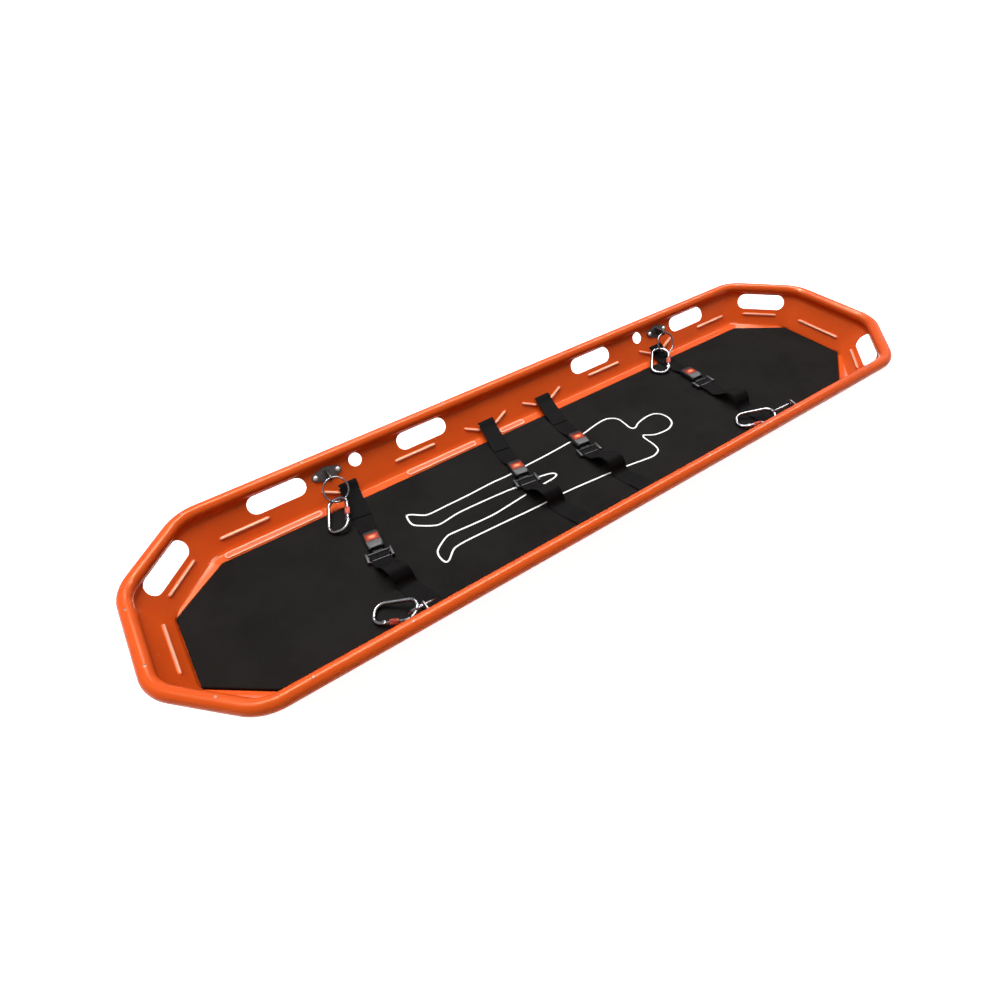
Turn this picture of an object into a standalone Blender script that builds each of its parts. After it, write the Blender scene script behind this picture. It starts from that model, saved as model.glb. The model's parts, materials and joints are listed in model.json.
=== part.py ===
"""Basket stretcher: a moulded shell on an aluminium rim tube, with a foam mat, four patient straps
with push-button buckles, and four lifting points, each with a ring and a screw-gate carabiner.

Metres. The origin is under the middle of the shell, on the surface that it stands on. +X runs to
the head end, +Y to the far side and +Z up.
"""

from math import cos, pi, radians, sin, tan

import bmesh
import bpy
from mathutils import Euler, Matrix, Vector

# Overall size, and the gap between pieces that touch
LENGTH = 2.180
WIDTH = 0.615
HEIGHT = 0.160
GAP = 0.0003

# Rim tube, and the sheet that is rolled over it
TUBE_RADIUS = 0.0125
TUBE_WALL = 0.0015
TUBE_JOINT = 0.0006
SHEET = 0.003
ROLL_STEPS = 11
ROLL_START = radians(240)
ROLL_END = radians(-90)
ROLL_RADIUS = (TUBE_RADIUS + GAP + SHEET) / cos((ROLL_START - ROLL_END) / ROLL_STEPS / 2)
RIM_Z = HEIGHT - ROLL_RADIUS
RIM_BEND = 0.095
CORNER_STEPS = 3

# Plan outlines of eight sides: how far each lies inside the one before, at the ends and at the
# sides, and how much each corner takes off, along the side and across the end
RIM_CUT_ALONG = 0.1546
RIM_CUT_ACROSS = 0.1561
WALL_LEAN_END = 0.0566
WALL_LEAN_SIDE = 0.0618
CREASE_CUT_ALONG = 0.1250
CREASE_CUT_ACROSS = 0.1253
BAND_WIDTH_END = 0.0050
BAND_WIDTH_SIDE = 0.0285
MAT_CUT_ALONG = 0.1320
MAT_CUT_ACROSS = 0.1002

# Floor, band and mat
FLOOR_TOP = 0.035
MAT_THICKNESS = 0.010
MAT_TOP = FLOOR_TOP + MAT_THICKNESS
BAND_RISE = 0.006
BAND_Z = FLOOR_TOP + BAND_RISE
CREASE_RISE = 0.004
CREASE_Z = BAND_Z + CREASE_RISE
CREASE_SOFTEN = 0.22
CREASE_BEND = 0.060
MAT_BEND = 0.012
MAT_MARGIN = 0.0015
BAND_STEP = 0.002

# Moulded runners under the floor
RUNNER_Y = 0.110
RUNNER_LENGTH = 1.620
RUNNER_WIDTH = 0.075
RUNNER_TAPER = 0.014

# Openings of the wall, placed along it and down its slope from the roll; on the long walls they and
# the beads below them all stand a little towards the head end
WALL_SHIFT = 0.001
WALL_SLOPE =Vector((WALL_LEAN_SIDE + ROLL_RADIUS * cos(ROLL_START),
                     RIM_Z + ROLL_RADIUS * sin(ROLL_START) - CREASE_Z)).length
HANDHOLE_X = (0.703, 0.2955)
HANDHOLE_LENGTH = 0.149
HANDHOLE_HEIGHT = 0.047
HANDHOLE_T = WALL_SLOPE - 0.0256
ROUND_HOLE_X = 0.4895
ROUND_HOLE_RADIUS = 0.0175
ROUND_HOLE_T = WALL_SLOPE - 0.0191
CUTTER_REACH = 0.012

# Beads of the wall, placed along it and below the handholes, and pads of the band
BEAD_HALF_WIDTH = 0.006
BEAD_HEIGHT = 0.005
BEAD_SINK = 0.0015
BEAD_BELOW = 0.017
BEAD_T = HANDHOLE_T - HANDHOLE_HEIGHT / 2 - BEAD_BELOW
BEAD_X = (0.8015, 0.332)
SIDE_BEAD_LENGTH = 0.125
CORNER_BEAD_LENGTH = 0.110
END_BEAD_LENGTH = 0.148
PAD_SPANS = ((-0.870, -0.620), (-0.378, -0.159), (-0.078, 0.007))
PAD_WIDTH = 0.019
PAD_RAISE = 0.003

# Strap slots, and the keeper bars behind them
STRAP_X = (-0.531, -0.104, 0.094, 0.551)
STRAP_YAW = (radians(-8.4), radians(-9.0), radians(-7.0), radians(-2.0))
SLOT_T = 0.033
SLOT_LENGTH = 0.056
SLOT_HEIGHT = 0.012
SLOT_BEAD_INNER = (0.031, 0.021)
SLOT_BEAD_OUTER = (0.064, 0.037)
# Which sides of each slot have a bead: -1 towards the foot end, 1 towards the head end
SLOT_BEAD_SIDES = ((-1,), (-1, 1), (-1, 1), (-1, 1))
KEEPER_RADIUS = 0.0025
KEEPER_LENGTH = 0.076

# Webbing
WEB_THICKNESS = 0.0018
WEB_HALF_WIDTH = 0.024
WEB_NARROW = 0.018
WEB_PITCH = 0.0024
BACK_TAIL = 0.118
FRONT_TAIL = 0.085

# Buckle, its button and the tongue with its adjuster frame, along the strap from the back slot, and
# how far each strap is pulled through towards that slot
HARDWARE_BACK = (0.008, 0.010, 0.010, 0.050)
BUCKLE_START = 0.187
BUCKLE_LENGTH = 0.056
BUCKLE_WIDTH = 0.040
BUCKLE_HEIGHT = 0.017
BUCKLE_ROUNDING = 0.003
BUTTON_START = 0.200
BUTTON_LENGTH = 0.019
BUTTON_WIDTH = 0.029
BUTTON_THICKNESS = 0.005
BUTTON_PROUD = 0.001
BUTTON_TRAVEL = 0.003
WEB_SLOT_DEPTH = 0.0105
WEB_SLOT_Z = MAT_TOP + 0.009
TONGUE_DEPTH = 0.024
TONGUE_WIDTH = 0.026
TONGUE_THICKNESS = 0.0025
TONGUE_Z = MAT_TOP + 0.0053
FRAME_START = 0.251
FRAME_LENGTH = 0.028
FRAME_WIDTH = 0.066
FRAME_THICKNESS = 0.005
FRAME_RAIL = 0.0037
CHEEK_WIDTH = 0.007
CHEEK_HEIGHT = 0.011
BAR_RADIUS = 0.003
BAR_SEAT = 0.004

# Lifting points: base plate with a lug, bolts, ring, and screw-gate carabiner
ANCHOR_X = 0.570
ANCHOR_T = WALL_SLOPE - 0.0231
PLATE_THICKNESS = 0.003
PLATE_END_RADIUS = 0.010
PLATE_MIDDLE_RADIUS = 0.019
BOLT_SPACING = 0.060
BOLT_RADIUS = 0.003
BOLT_HEAD_RADIUS = 0.0065
BOLT_HEAD_HEIGHT = 0.0045
NUT_STRIP_WIDTH = 0.014
NUT_STRIP_THICKNESS = 0.004
LUG_THICKNESS = 0.004
LUG_ROOT = 0.012
LUG_REACH = 0.030
LUG_DROP = 0.009
LUG_RADIUS = 0.0085
LUG_HOLE_RADIUS = 0.0045
RING_WIRE = 0.0025
RING_RADIUS = 0.0315
CARABINER_LENGTH = 0.108
CARABINER_WIDTH = 0.060
CARABINER_ROD = 0.0045
CARABINER_BEND = 0.022
NOSE_X = 0.028
NOSE_LENGTH = 0.005
PIN_X = 0.0710
PIN_RADIUS = 0.0013
TANG_RADIUS = 0.0038
TANG_HALF = 0.002
FORK_RADIUS = 0.0048
GATE_ROD = 0.004
GATE_GAP = 0.0004
SLEEVE_RADIUS = 0.0062
SLEEVE_LENGTH = 0.022
SLEEVE_BACK = 0.008
SLEEVE_X = NOSE_X + GATE_GAP + SLEEVE_BACK
GATE_Y = CARABINER_WIDTH / 2 - CARABINER_ROD
BOLT_STEPS = 8

# How each carabiner hangs: end, side, its turns about x, y and z in its ring's frame in degrees,
# and its place there from the foot of the ring
CARABINERS = {
    "foot_back": (-1, 1, (40.25, -36.27, -119.73), (-0.00638, 0.00862, -0.00231)),
    "head_back": (1, 1, (40.98, -26.60, -138.62), (-0.02190, 0.01780, -0.00548)),
    "foot_front": (-1, -1, (-45.01, -17.63, -35.18), (0.00611, 0.00966, -0.00085)),
    "head_front": (1, -1, (-46.36, -17.60, -38.38), (0.02215, 0.01915, -0.00605)),
}
REST_GAP = 0.0005
MOST_LEAN = radians(40)

FINISHES = {
    "orange_shell": ((0.72, 0.115, 0.02), 0.42, 0.0),
    "aluminium": ((0.62, 0.63, 0.65), 0.35, 1.0),
    "foam": ((0.018, 0.018, 0.017), 0.85, 0.0),
    "webbing": ((0.022, 0.021, 0.022), 0.8, 0.0),
    "buckle_plastic": ((0.05, 0.05, 0.055), 0.4, 0.0),
    "button_red": ((0.55, 0.04, 0.02), 0.35, 0.0),
    "black_steel": ((0.03, 0.03, 0.032), 0.4, 0.8),
    "plate_steel": ((0.2, 0.19, 0.19), 0.45, 0.9),
    "bright_steel": ((0.72, 0.72, 0.73), 0.18, 1.0),
    "sleeve_red": ((0.5, 0.045, 0.03), 0.35, 0.3),
}

for old_object in list(bpy.data.objects):
    bpy.data.objects.remove(old_object, do_unlink=True)

PARTS = bpy.data.collections.new("basket_stretcher")
CUTTERS = bpy.data.collections.new("cutters")
bpy.context.scene.collection.children.link(PARTS)
bpy.context.scene.collection.children.link(CUTTERS)


def finish(name):
    """The material of a finish, made once."""
    material = bpy.data.materials.get(name)
    if material is None:
        colour, roughness, metallic = FINISHES[name]
        material = bpy.data.materials.new(name)
        material.use_nodes = True
        shader = material.node_tree.nodes["Principled BSDF"]
        shader.inputs["Base Color"].default_value = (*colour, 1.0)
        shader.inputs["Roughness"].default_value = roughness
        shader.inputs["Metallic"].default_value = metallic
    return material


def add_object(name, mesh, finish_name=None, matrix=None):
    """A part with its finish, or a cutter where no finish is given."""
    piece = bpy.data.objects.new(name, mesh)
    if matrix is not None:
        piece.matrix_world = matrix
    if finish_name is None:
        CUTTERS.objects.link(piece)
        piece.hide_render = True
        piece.display_type = "WIRE"
    else:
        PARTS.objects.link(piece)
        mesh.materials.clear()
        mesh.materials.append(finish(finish_name))
        mesh.shade_smooth()
        mesh.set_sharp_from_angle(angle=radians(35))
    return piece


def empty(name, matrix):
    """A frame that moving pieces hang on."""
    frame = bpy.data.objects.new(name, None)
    frame.matrix_world = matrix
    PARTS.objects.link(frame)
    return frame


def axes_matrix(x_axis, y_axis, z_axis, origin):
    """Matrix of a frame from its three axes and its origin."""
    rotation = Matrix((x_axis, y_axis, z_axis)).transposed()
    return Matrix.Translation(origin) @ rotation.to_4x4()


def mesh_from_bmesh(name, shape):
    mesh = bpy.data.meshes.new(name)
    shape.to_mesh(mesh)
    shape.free()
    return mesh


def box_mesh(name, low, high, rounding=0.0):
    """A box between two corners, with its edges rounded."""
    shape = bmesh.new()
    bmesh.ops.create_cube(shape, size=1.0)
    size = Vector(high) - Vector(low)
    bmesh.ops.scale(shape, vec=size, verts=shape.verts)
    bmesh.ops.translate(shape, vec=(Vector(low) + Vector(high)) / 2, verts=shape.verts)
    if rounding:
        bmesh.ops.bevel(shape, geom=shape.edges, offset=rounding, segments=1, affect="EDGES", profile=0.5)
    return mesh_from_bmesh(name, shape)


def rod_mesh(name, radius, start, end, sides=12):
    """A round rod between two points."""
    shape = bmesh.new()
    run = Vector(end) - Vector(start)
    bmesh.ops.create_cone(
        shape, cap_ends=True, segments=sides, radius1=radius, radius2=radius, depth=run.length)
    turn = run.to_track_quat("Z", "Y").to_matrix()
    bmesh.ops.rotate(shape, cent=(0, 0, 0), matrix=turn, verts=shape.verts)
    bmesh.ops.translate(shape, vec=(Vector(start) + Vector(end)) / 2, verts=shape.verts)
    return mesh_from_bmesh(name, shape)


def plate_mesh(name, outline, low, high):
    """A flat plate with a closed outline in x and y, from one height to another."""
    shape = bmesh.new()
    face = shape.faces.new([shape.verts.new((x, y, low)) for x, y in outline])
    if face.normal.z > 0:
        face.normal_flip()
    grown = bmesh.ops.extrude_face_region(shape, geom=[face])
    top = [item for item in grown["geom"] if isinstance(item, bmesh.types.BMVert)]
    bmesh.ops.translate(shape, vec=(0, 0, high - low), verts=top)
    bmesh.ops.recalc_face_normals(shape, faces=shape.faces)
    return mesh_from_bmesh(name, shape)


def tube_mesh(name, points, radius, factors=None, cyclic=False, resolution=2, caps=True):
    """A round tube along a row of points, from a curve with a bevel."""
    curve = bpy.data.curves.new(name, "CURVE")
    curve.dimensions = "3D"
    curve.bevel_depth = radius
    curve.bevel_resolution = resolution
    curve.use_fill_caps = caps
    spline = curve.splines.new("POLY")
    spline.points.add(len(points) - 1)
    spline.use_cyclic_u = cyclic
    for index, (point, place) in enumerate(zip(spline.points, points)):
        point.co = (*place, 1.0)
        point.radius = factors[index] if factors else 1.0
    holder = bpy.data.objects.new(name + "_curve", curve)
    CUTTERS.objects.link(holder)
    bpy.context.view_layer.update()
    evaluated = holder.evaluated_get(bpy.context.evaluated_depsgraph_get())
    mesh = bpy.data.meshes.new_from_object(evaluated)
    bpy.data.objects.remove(holder, do_unlink=True)
    shape = bmesh.new()
    shape.from_mesh(mesh)
    bmesh.ops.remove_doubles(shape, verts=shape.verts, dist=1e-6)
    shape.to_mesh(mesh)
    shape.free()
    return mesh


def turned_mesh(name, profile, steps):
    """A turned solid from an (radius, height) profile that starts and ends on the axis."""
    shape = bmesh.new()
    corners = [shape.verts.new((radius, 0, height)) for radius, height in profile]
    for first, second in zip(corners, corners[1:]):
        shape.edges.new((first, second))
    holder = bpy.data.objects.new(name + "_profile", mesh_from_bmesh(name, shape))
    CUTTERS.objects.link(holder)
    screw = holder.modifiers.new("turn", "SCREW")
    screw.steps = steps
    screw.render_steps = steps
    screw.use_merge_vertices = True
    screw.merge_threshold = 0.00001
    bpy.context.view_layer.update()
    evaluated = holder.evaluated_get(bpy.context.evaluated_depsgraph_get())
    mesh = bpy.data.meshes.new_from_object(evaluated)
    bpy.data.objects.remove(holder, do_unlink=True)
    return mesh


def join_meshes(name, pieces, matrix=None):
    """One cutter object that holds several separate meshes, each with its own matrix."""
    shape = bmesh.new()
    for mesh, place in pieces:
        part = bmesh.new()
        part.from_mesh(mesh)
        bmesh.ops.transform(part, matrix=place, verts=part.verts)
        moved = bpy.data.meshes.new(name + "_part")
        part.to_mesh(moved)
        part.free()
        shape.from_mesh(moved)
        bpy.data.meshes.remove(moved)
    return add_object(name, mesh_from_bmesh(name, shape), matrix=matrix)


def boolean(piece, cutter, operation):
    """A Boolean modifier with the exact solver."""
    modifier = piece.modifiers.new(operation.lower(), "BOOLEAN")
    modifier.operation = operation
    modifier.solver = "EXACT"
    modifier.object = cutter


def combine(piece, mesh, operation, matrix=None):
    """Add or cut a mesh, given in the piece's own frame unless a matrix is given."""
    place = piece.matrix_world if matrix is None else matrix
    boolean(piece, add_object(piece.name + "_" + operation.lower(), mesh, matrix=place), operation)


def circle(radius, centre=(0.0, 0.0), steps=12, start=0.0, turn=2 * pi):
    """Points on a circle, or on a part of one."""
    count = steps if turn == 2 * pi else steps + 1
    angles = [start + turn * step / steps for step in range(count)]
    return [(centre[0] + radius * cos(a), centre[1] + radius * sin(a)) for a in angles]


def stadium(length, height, steps=4):
    """Outline of a slot with round ends, lying along x."""
    reach = (length - height) / 2
    right = circle(height / 2, (reach, 0), steps, -pi / 2, pi)
    left = circle(height / 2, (-reach, 0), steps, pi / 2, pi)
    return right + left


def hull(points):
    """Outline round a set of points, as a tight band would lie."""
    ordered = sorted(set((round(x, 7), round(y, 7)) for x, y in points))

    def half(row):
        chain = []
        for point in row:
            while len(chain) > 1 and cross(chain[-2], chain[-1], point) <= 0:
                chain.pop()
            chain.append(point)
        return chain[:-1]

    return half(ordered) + half(reversed(ordered))


def cross(first, second, third):
    """Twice the signed area of a triangle."""
    run = (second[0] - first[0]) * (third[1] - first[1])
    return run - (second[1] - first[1]) * (third[0] - first[0])


# Plan outlines

def cut_plan(end_x, side_y, cut_along, cut_across):
    """A plan of eight sides: end x, side y, half width of the end, half length of the side."""
    return (end_x, side_y, side_y - cut_across, end_x - cut_along)


RIM_PLAN = cut_plan(LENGTH / 2 - ROLL_RADIUS, WIDTH / 2 - ROLL_RADIUS, RIM_CUT_ALONG, RIM_CUT_ACROSS)
CREASE_PLAN = cut_plan(RIM_PLAN[0] - WALL_LEAN_END, RIM_PLAN[1] - WALL_LEAN_SIDE,
                       CREASE_CUT_ALONG, CREASE_CUT_ACROSS)
MAT_PLAN = cut_plan(CREASE_PLAN[0] - BAND_WIDTH_END, CREASE_PLAN[1] - BAND_WIDTH_SIDE,
                    MAT_CUT_ALONG, MAT_CUT_ACROSS)


def grown(plan, distance):
    """The plan whose sides all lie further out by a distance."""
    end_x, side_y, end_half, side_half = plan
    normal = Vector((side_y - end_half, end_x - side_half)).normalized()
    reach = normal.dot(Vector((end_x, end_half))) + distance
    new_end = end_x + distance
    new_side = side_y + distance
    return (new_end, new_side, (reach - normal.x * new_end) / normal.y,
            (reach - normal.y * new_side) / normal.x)


def corners(plan):
    """The eight corners, anticlockwise from the head end's near corner."""
    end_x, side_y, end_half, side_half = plan
    quarter = [(end_x, end_half), (side_half, side_y)]
    far = quarter + [(-x, y) for x, y in reversed(quarter)]
    near = [(x, -y) for x, y in reversed(far)]
    return [Vector(near[-1])] + [Vector(point) for point in far + near[:-1]]


def rounded(plan, bend, steps=CORNER_STEPS):
    """Points round the plan, each corner an arc of the bend radius."""
    places = corners(plan)
    points = []
    for index, corner in enumerate(places):
        back = (places[index - 1] - corner).normalized()
        ahead = (places[(index + 1) % 8] - corner).normalized()
        half = back.angle(ahead) / 2
        centre = corner + (back + ahead).normalized() * bend / sin(half)
        spoke = corner + back * bend / tan(half) - centre
        turn = pi - 2 * half
        for step in range(steps + 1):
            angle = turn * step / steps
            points.append((centre.x + spoke.x * cos(angle) - spoke.y * sin(angle),
                           centre.y + spoke.x * sin(angle) + spoke.y * cos(angle)))
    return points


def blend(first, second, share):
    """A station part of the way from one to another."""
    return tuple(a + (b - a) * share for a, b in zip(first, second))


def rim_station(angle):
    """A station on the roll round the rim tube."""
    out = ROLL_RADIUS * cos(angle)
    return (*grown(RIM_PLAN, out), RIM_BEND + out, RIM_Z + ROLL_RADIUS * sin(angle))


CREASE_STATION = (*CREASE_PLAN, CREASE_BEND, CREASE_Z)
WALL_TOP_STATION = rim_station(ROLL_START)


def skin_stations():
    """Stations of the visible skin, from the floor's edge over the wall and round the roll."""
    floor_edge = (*grown(MAT_PLAN, MAT_MARGIN), MAT_BEND, FLOOR_TOP)
    band_edge = (*grown(MAT_PLAN, MAT_MARGIN + BAND_STEP), MAT_BEND, BAND_Z)
    stations = [floor_edge, band_edge]
    before = blend(CREASE_STATION, band_edge, CREASE_SOFTEN * 2)
    after = blend(CREASE_STATION, WALL_TOP_STATION, CREASE_SOFTEN)
    for share in (0.0, 0.5, 1.0):
        stations.append(blend(blend(before, CREASE_STATION, share),
                              blend(CREASE_STATION, after, share), share))
    for step in range(ROLL_STEPS + 1):
        stations.append(rim_station(ROLL_START + (ROLL_END - ROLL_START) * step / ROLL_STEPS))
    return stations


def panel(index):
    """Frame of one wall: x along it, y up its slope, z out of it into the basket."""
    low = [corner.to_3d() + Vector((0, 0, CREASE_Z)) for corner in corners(CREASE_PLAN)]
    high = [corner.to_3d() + Vector((0, 0, WALL_TOP_STATION[5])) for corner in
            corners(WALL_TOP_STATION[:4])]
    first = index
    second = (index + 1) % 8
    foot = (low[first] + low[second]) / 2
    along = (low[first] - low[second]).normalized()
    slope = (high[first] + high[second]) / 2 - foot
    slope = (slope - along * slope.dot(along)).normalized()
    return axes_matrix(along, slope, along.cross(slope), foot)


HEAD_END, CORNER_1, BACK, CORNER_2, FOOT_END, CORNER_3, FRONT, CORNER_4 = range(8)


# Shell

def shell_skin():
    """The open skin of the shell, lofted through its stations."""
    shape = bmesh.new()
    rings = []
    for station in skin_stations():
        outline = rounded(station[:4], station[4])
        rings.append([shape.verts.new((x, y, station[5])) for x, y in outline])
    shape.faces.new(rings[0])
    for low, high in zip(rings, rings[1:]):
        for index in range(len(low)):
            after = (index + 1) % len(low)
            shape.faces.new((low[after], low[index], high[index], high[after]))
    return mesh_from_bmesh("shell", shape)


def runner_mesh(inset, low, high):
    """A tapered bar, narrower at its foot, for a runner or the trough inside it."""
    shape = bmesh.new()
    bmesh.ops.create_cube(shape, size=1.0)
    for corner in shape.verts:
        taper = 0.0 if corner.co.z > 0 else RUNNER_TAPER
        corner.co.x *= RUNNER_LENGTH - 2 * inset - 2 * taper
        corner.co.y *= RUNNER_WIDTH - 2 * inset - taper
        corner.co.z = high if corner.co.z > 0 else low
    upright = [edge for edge in shape.edges if abs(edge.verts[0].co.z - edge.verts[1].co.z) > 0.001]
    bmesh.ops.bevel(shape, geom=upright, offset=RUNNER_TAPER, segments=2, affect="EDGES", profile=0.5)
    return mesh_from_bmesh("runner", shape)


def bead_mesh(length):
    """A raised bead lying along x, flat and shallow below the skin."""
    shape = bmesh.new()
    bmesh.ops.create_uvsphere(shape, u_segments=6, v_segments=5, radius=1.0)
    for point in shape.verts:
        x, y, z = point.co.z, point.co.x, point.co.y
        reach = (length / 2 - BEAD_HALF_WIDTH) * (1 if x > 0 else -1)
        point.co = (x * BEAD_HALF_WIDTH + reach, y * BEAD_HALF_WIDTH,
                    z * (BEAD_HEIGHT if z > 0 else BEAD_SINK))
    bmesh.ops.recalc_face_normals(shape, faces=shape.faces)
    return mesh_from_bmesh("bead", shape)


def shell_beads():
    """Meshes and places of the beads on all eight walls."""
    beads = []
    for index in range(8):
        frame = panel(index)
        if index in (BACK, FRONT):
            direction = 1 if index == BACK else -1
            for place in BEAD_X:
                for side in (-1, 1):
                    spot = Matrix.Translation((side * place + direction * WALL_SHIFT, BEAD_T, 0))
                    beads.append((bead_mesh(SIDE_BEAD_LENGTH), frame @ spot))
            beads += slot_beads(frame, direction)
        else:
            length = END_BEAD_LENGTH if index in (HEAD_END, FOOT_END) else CORNER_BEAD_LENGTH
            beads.append((bead_mesh(length), frame @ Matrix.Translation((0, BEAD_T, 0))))
    return beads


def slot_beads(frame, direction):
    """The short slanting beads beside each strap slot."""
    beads = []
    inner = Vector(SLOT_BEAD_INNER)
    outer = Vector(SLOT_BEAD_OUTER)
    run = outer - inner
    length = run.length + 2 * BEAD_HALF_WIDTH
    middle = (inner + outer) / 2
    slant = run.to_3d().to_track_quat("X", "Z").to_euler().z
    for place, ends in zip(STRAP_X, SLOT_BEAD_SIDES):
        for side in [end * direction for end in ends]:
            spot = Matrix.Translation((direction * place + side * middle.x, middle.y, 0))
            beads.append((bead_mesh(length), frame @ spot @ Matrix.Rotation(side * slant, 4, "Z")))
    return beads


def band_pads():
    """The raised pads on the band between mat and wall, on both sides."""
    pads = []
    inner = grown(MAT_PLAN, MAT_MARGIN + BAND_STEP)[1]
    middle = (inner + CREASE_PLAN[1]) / 2
    tilt = (CREASE_Z - BAND_Z) / (CREASE_PLAN[1] - inner)
    height = (BAND_Z + CREASE_Z) / 2
    for low, high in PAD_SPANS:
        outline = stadium(high - low, PAD_WIDTH, 4)
        mesh = plate_mesh("pad", outline, -PAD_RAISE / 3, PAD_RAISE)
        for side in (-1, 1):
            spot = Matrix.Translation(((low + high) / 2, side * middle, height))
            pads.append((mesh, spot @ Matrix.Rotation(side * tilt, 4, "X")))
    return pads


def wall_cuts():
    """Handholes, round holes, strap slots and bolt holes through the walls."""
    deep = CUTTER_REACH
    handhole = plate_mesh("handhole", stadium(HANDHOLE_LENGTH, HANDHOLE_HEIGHT), -deep, deep)
    slot = plate_mesh("slot", stadium(SLOT_LENGTH, SLOT_HEIGHT, 4), -deep, deep)
    hole = plate_mesh("hole", circle(ROUND_HOLE_RADIUS), -deep, deep)
    bolt = plate_mesh("bolt_hole", circle(BOLT_RADIUS + GAP, steps=8), -deep, deep)
    cuts = []
    for index in (CORNER_1, CORNER_2, CORNER_3, CORNER_4):
        cuts.append((handhole, panel(index) @ Matrix.Translation((0, HANDHOLE_T, 0))))
    for index in (BACK, FRONT):
        frame = panel(index)
        direction = 1 if index == BACK else -1
        shifted = frame @ Matrix.Translation((direction * WALL_SHIFT, 0, 0))
        for side in (-1, 1):
            for place in HANDHOLE_X:
                cuts.append((handhole, shifted @ Matrix.Translation((side * place, HANDHOLE_T, 0))))
            cuts.append((hole, shifted @ Matrix.Translation((side * ROUND_HOLE_X, ROUND_HOLE_T, 0))))
            for shift in (-BOLT_SPACING / 2, BOLT_SPACING / 2):
                spot = Matrix.Translation((side * ANCHOR_X + shift, ANCHOR_T, 0))
                cuts.append((bolt, frame @ spot))
        for place in STRAP_X:
            cuts.append((slot, frame @ Matrix.Translation((direction * place, SLOT_T, 0))))
    return cuts


def build_shell():
    shell = add_object("shell", shell_skin(), "orange_shell")
    thicken = shell.modifiers.new("sheet", "SOLIDIFY")
    thicken.thickness = SHEET
    thicken.offset = -1
    thicken.use_even_offset = True
    runners = []
    troughs = []
    for side in (-1, 1):
        spot = Matrix.Translation((0, side * RUNNER_Y, 0))
        runners.append((runner_mesh(0, 0, FLOOR_TOP - SHEET / 2), spot))
        troughs.append((runner_mesh(SHEET, SHEET, FLOOR_TOP + SHEET), spot))
    boolean(shell, join_meshes("runners", runners), "UNION")
    boolean(shell, join_meshes("troughs", troughs), "DIFFERENCE")
    boolean(shell, join_meshes("beads", shell_beads() + band_pads()), "UNION")
    boolean(shell, join_meshes("wall_cuts", wall_cuts()), "DIFFERENCE")


def build_rim_tube():
    """The aluminium tube in the rim, its two ends butted in the middle of the near side."""
    outline = rounded(RIM_PLAN, RIM_BEND)
    start = 6 * (CORNER_STEPS + 1) + CORNER_STEPS + 1
    ring = outline[start:] + outline[:start]
    path = [(TUBE_JOINT / 2, -RIM_PLAN[1])] + ring + [(-TUBE_JOINT / 2, -RIM_PLAN[1])]
    mesh = tube_mesh("rim_tube", [(x, y, RIM_Z) for x, y in path], TUBE_RADIUS, caps=False)
    tube = add_object("rim_tube", mesh, "aluminium")
    wall = tube.modifiers.new("wall", "SOLIDIFY")
    wall.thickness = TUBE_WALL
    wall.offset = -1


def build_mat():
    outline = rounded(MAT_PLAN, MAT_BEND, 2)
    add_object("mat", plate_mesh("mat", outline, FLOOR_TOP + GAP, MAT_TOP), "foam")


# Straps

SLOT_BACK = panel(BACK) @ Vector((0, SLOT_T, 0))
KEEPER_DEPTH = SHEET + GAP + KEEPER_RADIUS
KEEPER_LOOP = KEEPER_RADIUS + GAP + WEB_THICKNESS / 2
BAR_S = FRAME_START + FRAME_LENGTH / 2 - 0.002
BAR_Z = TONGUE_Z + 0.0012
BAR_LOOP = BAR_RADIUS + GAP + WEB_THICKNESS / 2
HARDWARE_END = FRAME_START + FRAME_LENGTH + 0.006
WEB_ON_MAT = MAT_TOP + WEB_THICKNESS / 2 + 2 * GAP
WEB_FALL = SLOT_BACK.z - WEB_ON_MAT

# Routes of the lower layer by distance from the slot, and share of the fall from it to the mat:
# close to the wall, or standing off
CLOSE_ROUTE = ((0.018, 0.515), (0.035, 0.172), (0.047, 0.019), (0.060, 0.0))
LOOSE_ROUTE = ((0.020, 0.706), (0.045, 0.458), (0.075, 0.172), (0.100, 0.019))

# Where the lower layer rises to the buckle, by distance before it, and how high it lies there
RISE_START = 0.045
RISE_MIDDLE = 0.021
RISE_HEIGHT = 0.005
RISE_NARROW = 0.004

# The free end under the adjuster bar, by distance past the bar, and the slack that follows the
# adjuster frame, by distance past the frame and height over the mat, with the room that it takes.
# Where a strap is pulled through, a stretch lies before its slack, by share of what was pulled.
TAIL_PLACES = (0.062, 0.029, 0.017)
PULLED = ((0.52, 0.0085), (0.16, 0.0072))
PULLED_FROM = 0.030
SLACK_ROOM = 0.120
HUMP = ((0.010, 0.0160), (0.027, 0.0295), (0.041, 0.0380), (0.053, 0.0405), (0.065, 0.0370),
        (0.075, 0.0250), (0.081, 0.0110), (0.089, 0.0035), (0.105, WEB_ON_MAT - MAT_TOP))


def fallen(route):
    """A route with its shares of the fall turned to heights."""
    return [(distance, WEB_ON_MAT + WEB_FALL * share) for distance, share in route]


def keeper_loop():
    """The webbing's way through the slot and round the keeper, by distance and height."""
    wall = panel(BACK)
    path = [(SLOT_T - KEEPER_LOOP, 0.002)]
    for step in range(5):
        angle = -pi / 2 - pi * step / 4
        path.append((SLOT_T + KEEPER_LOOP * sin(angle), -KEEPER_DEPTH + KEEPER_LOOP * cos(angle)))
    path.append((SLOT_T + KEEPER_LOOP, 0.002))
    places = [wall @ Vector((0, t, n)) for t, n in path]
    return [(SLOT_BACK.y - place.y, place.z) for place in places]


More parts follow.
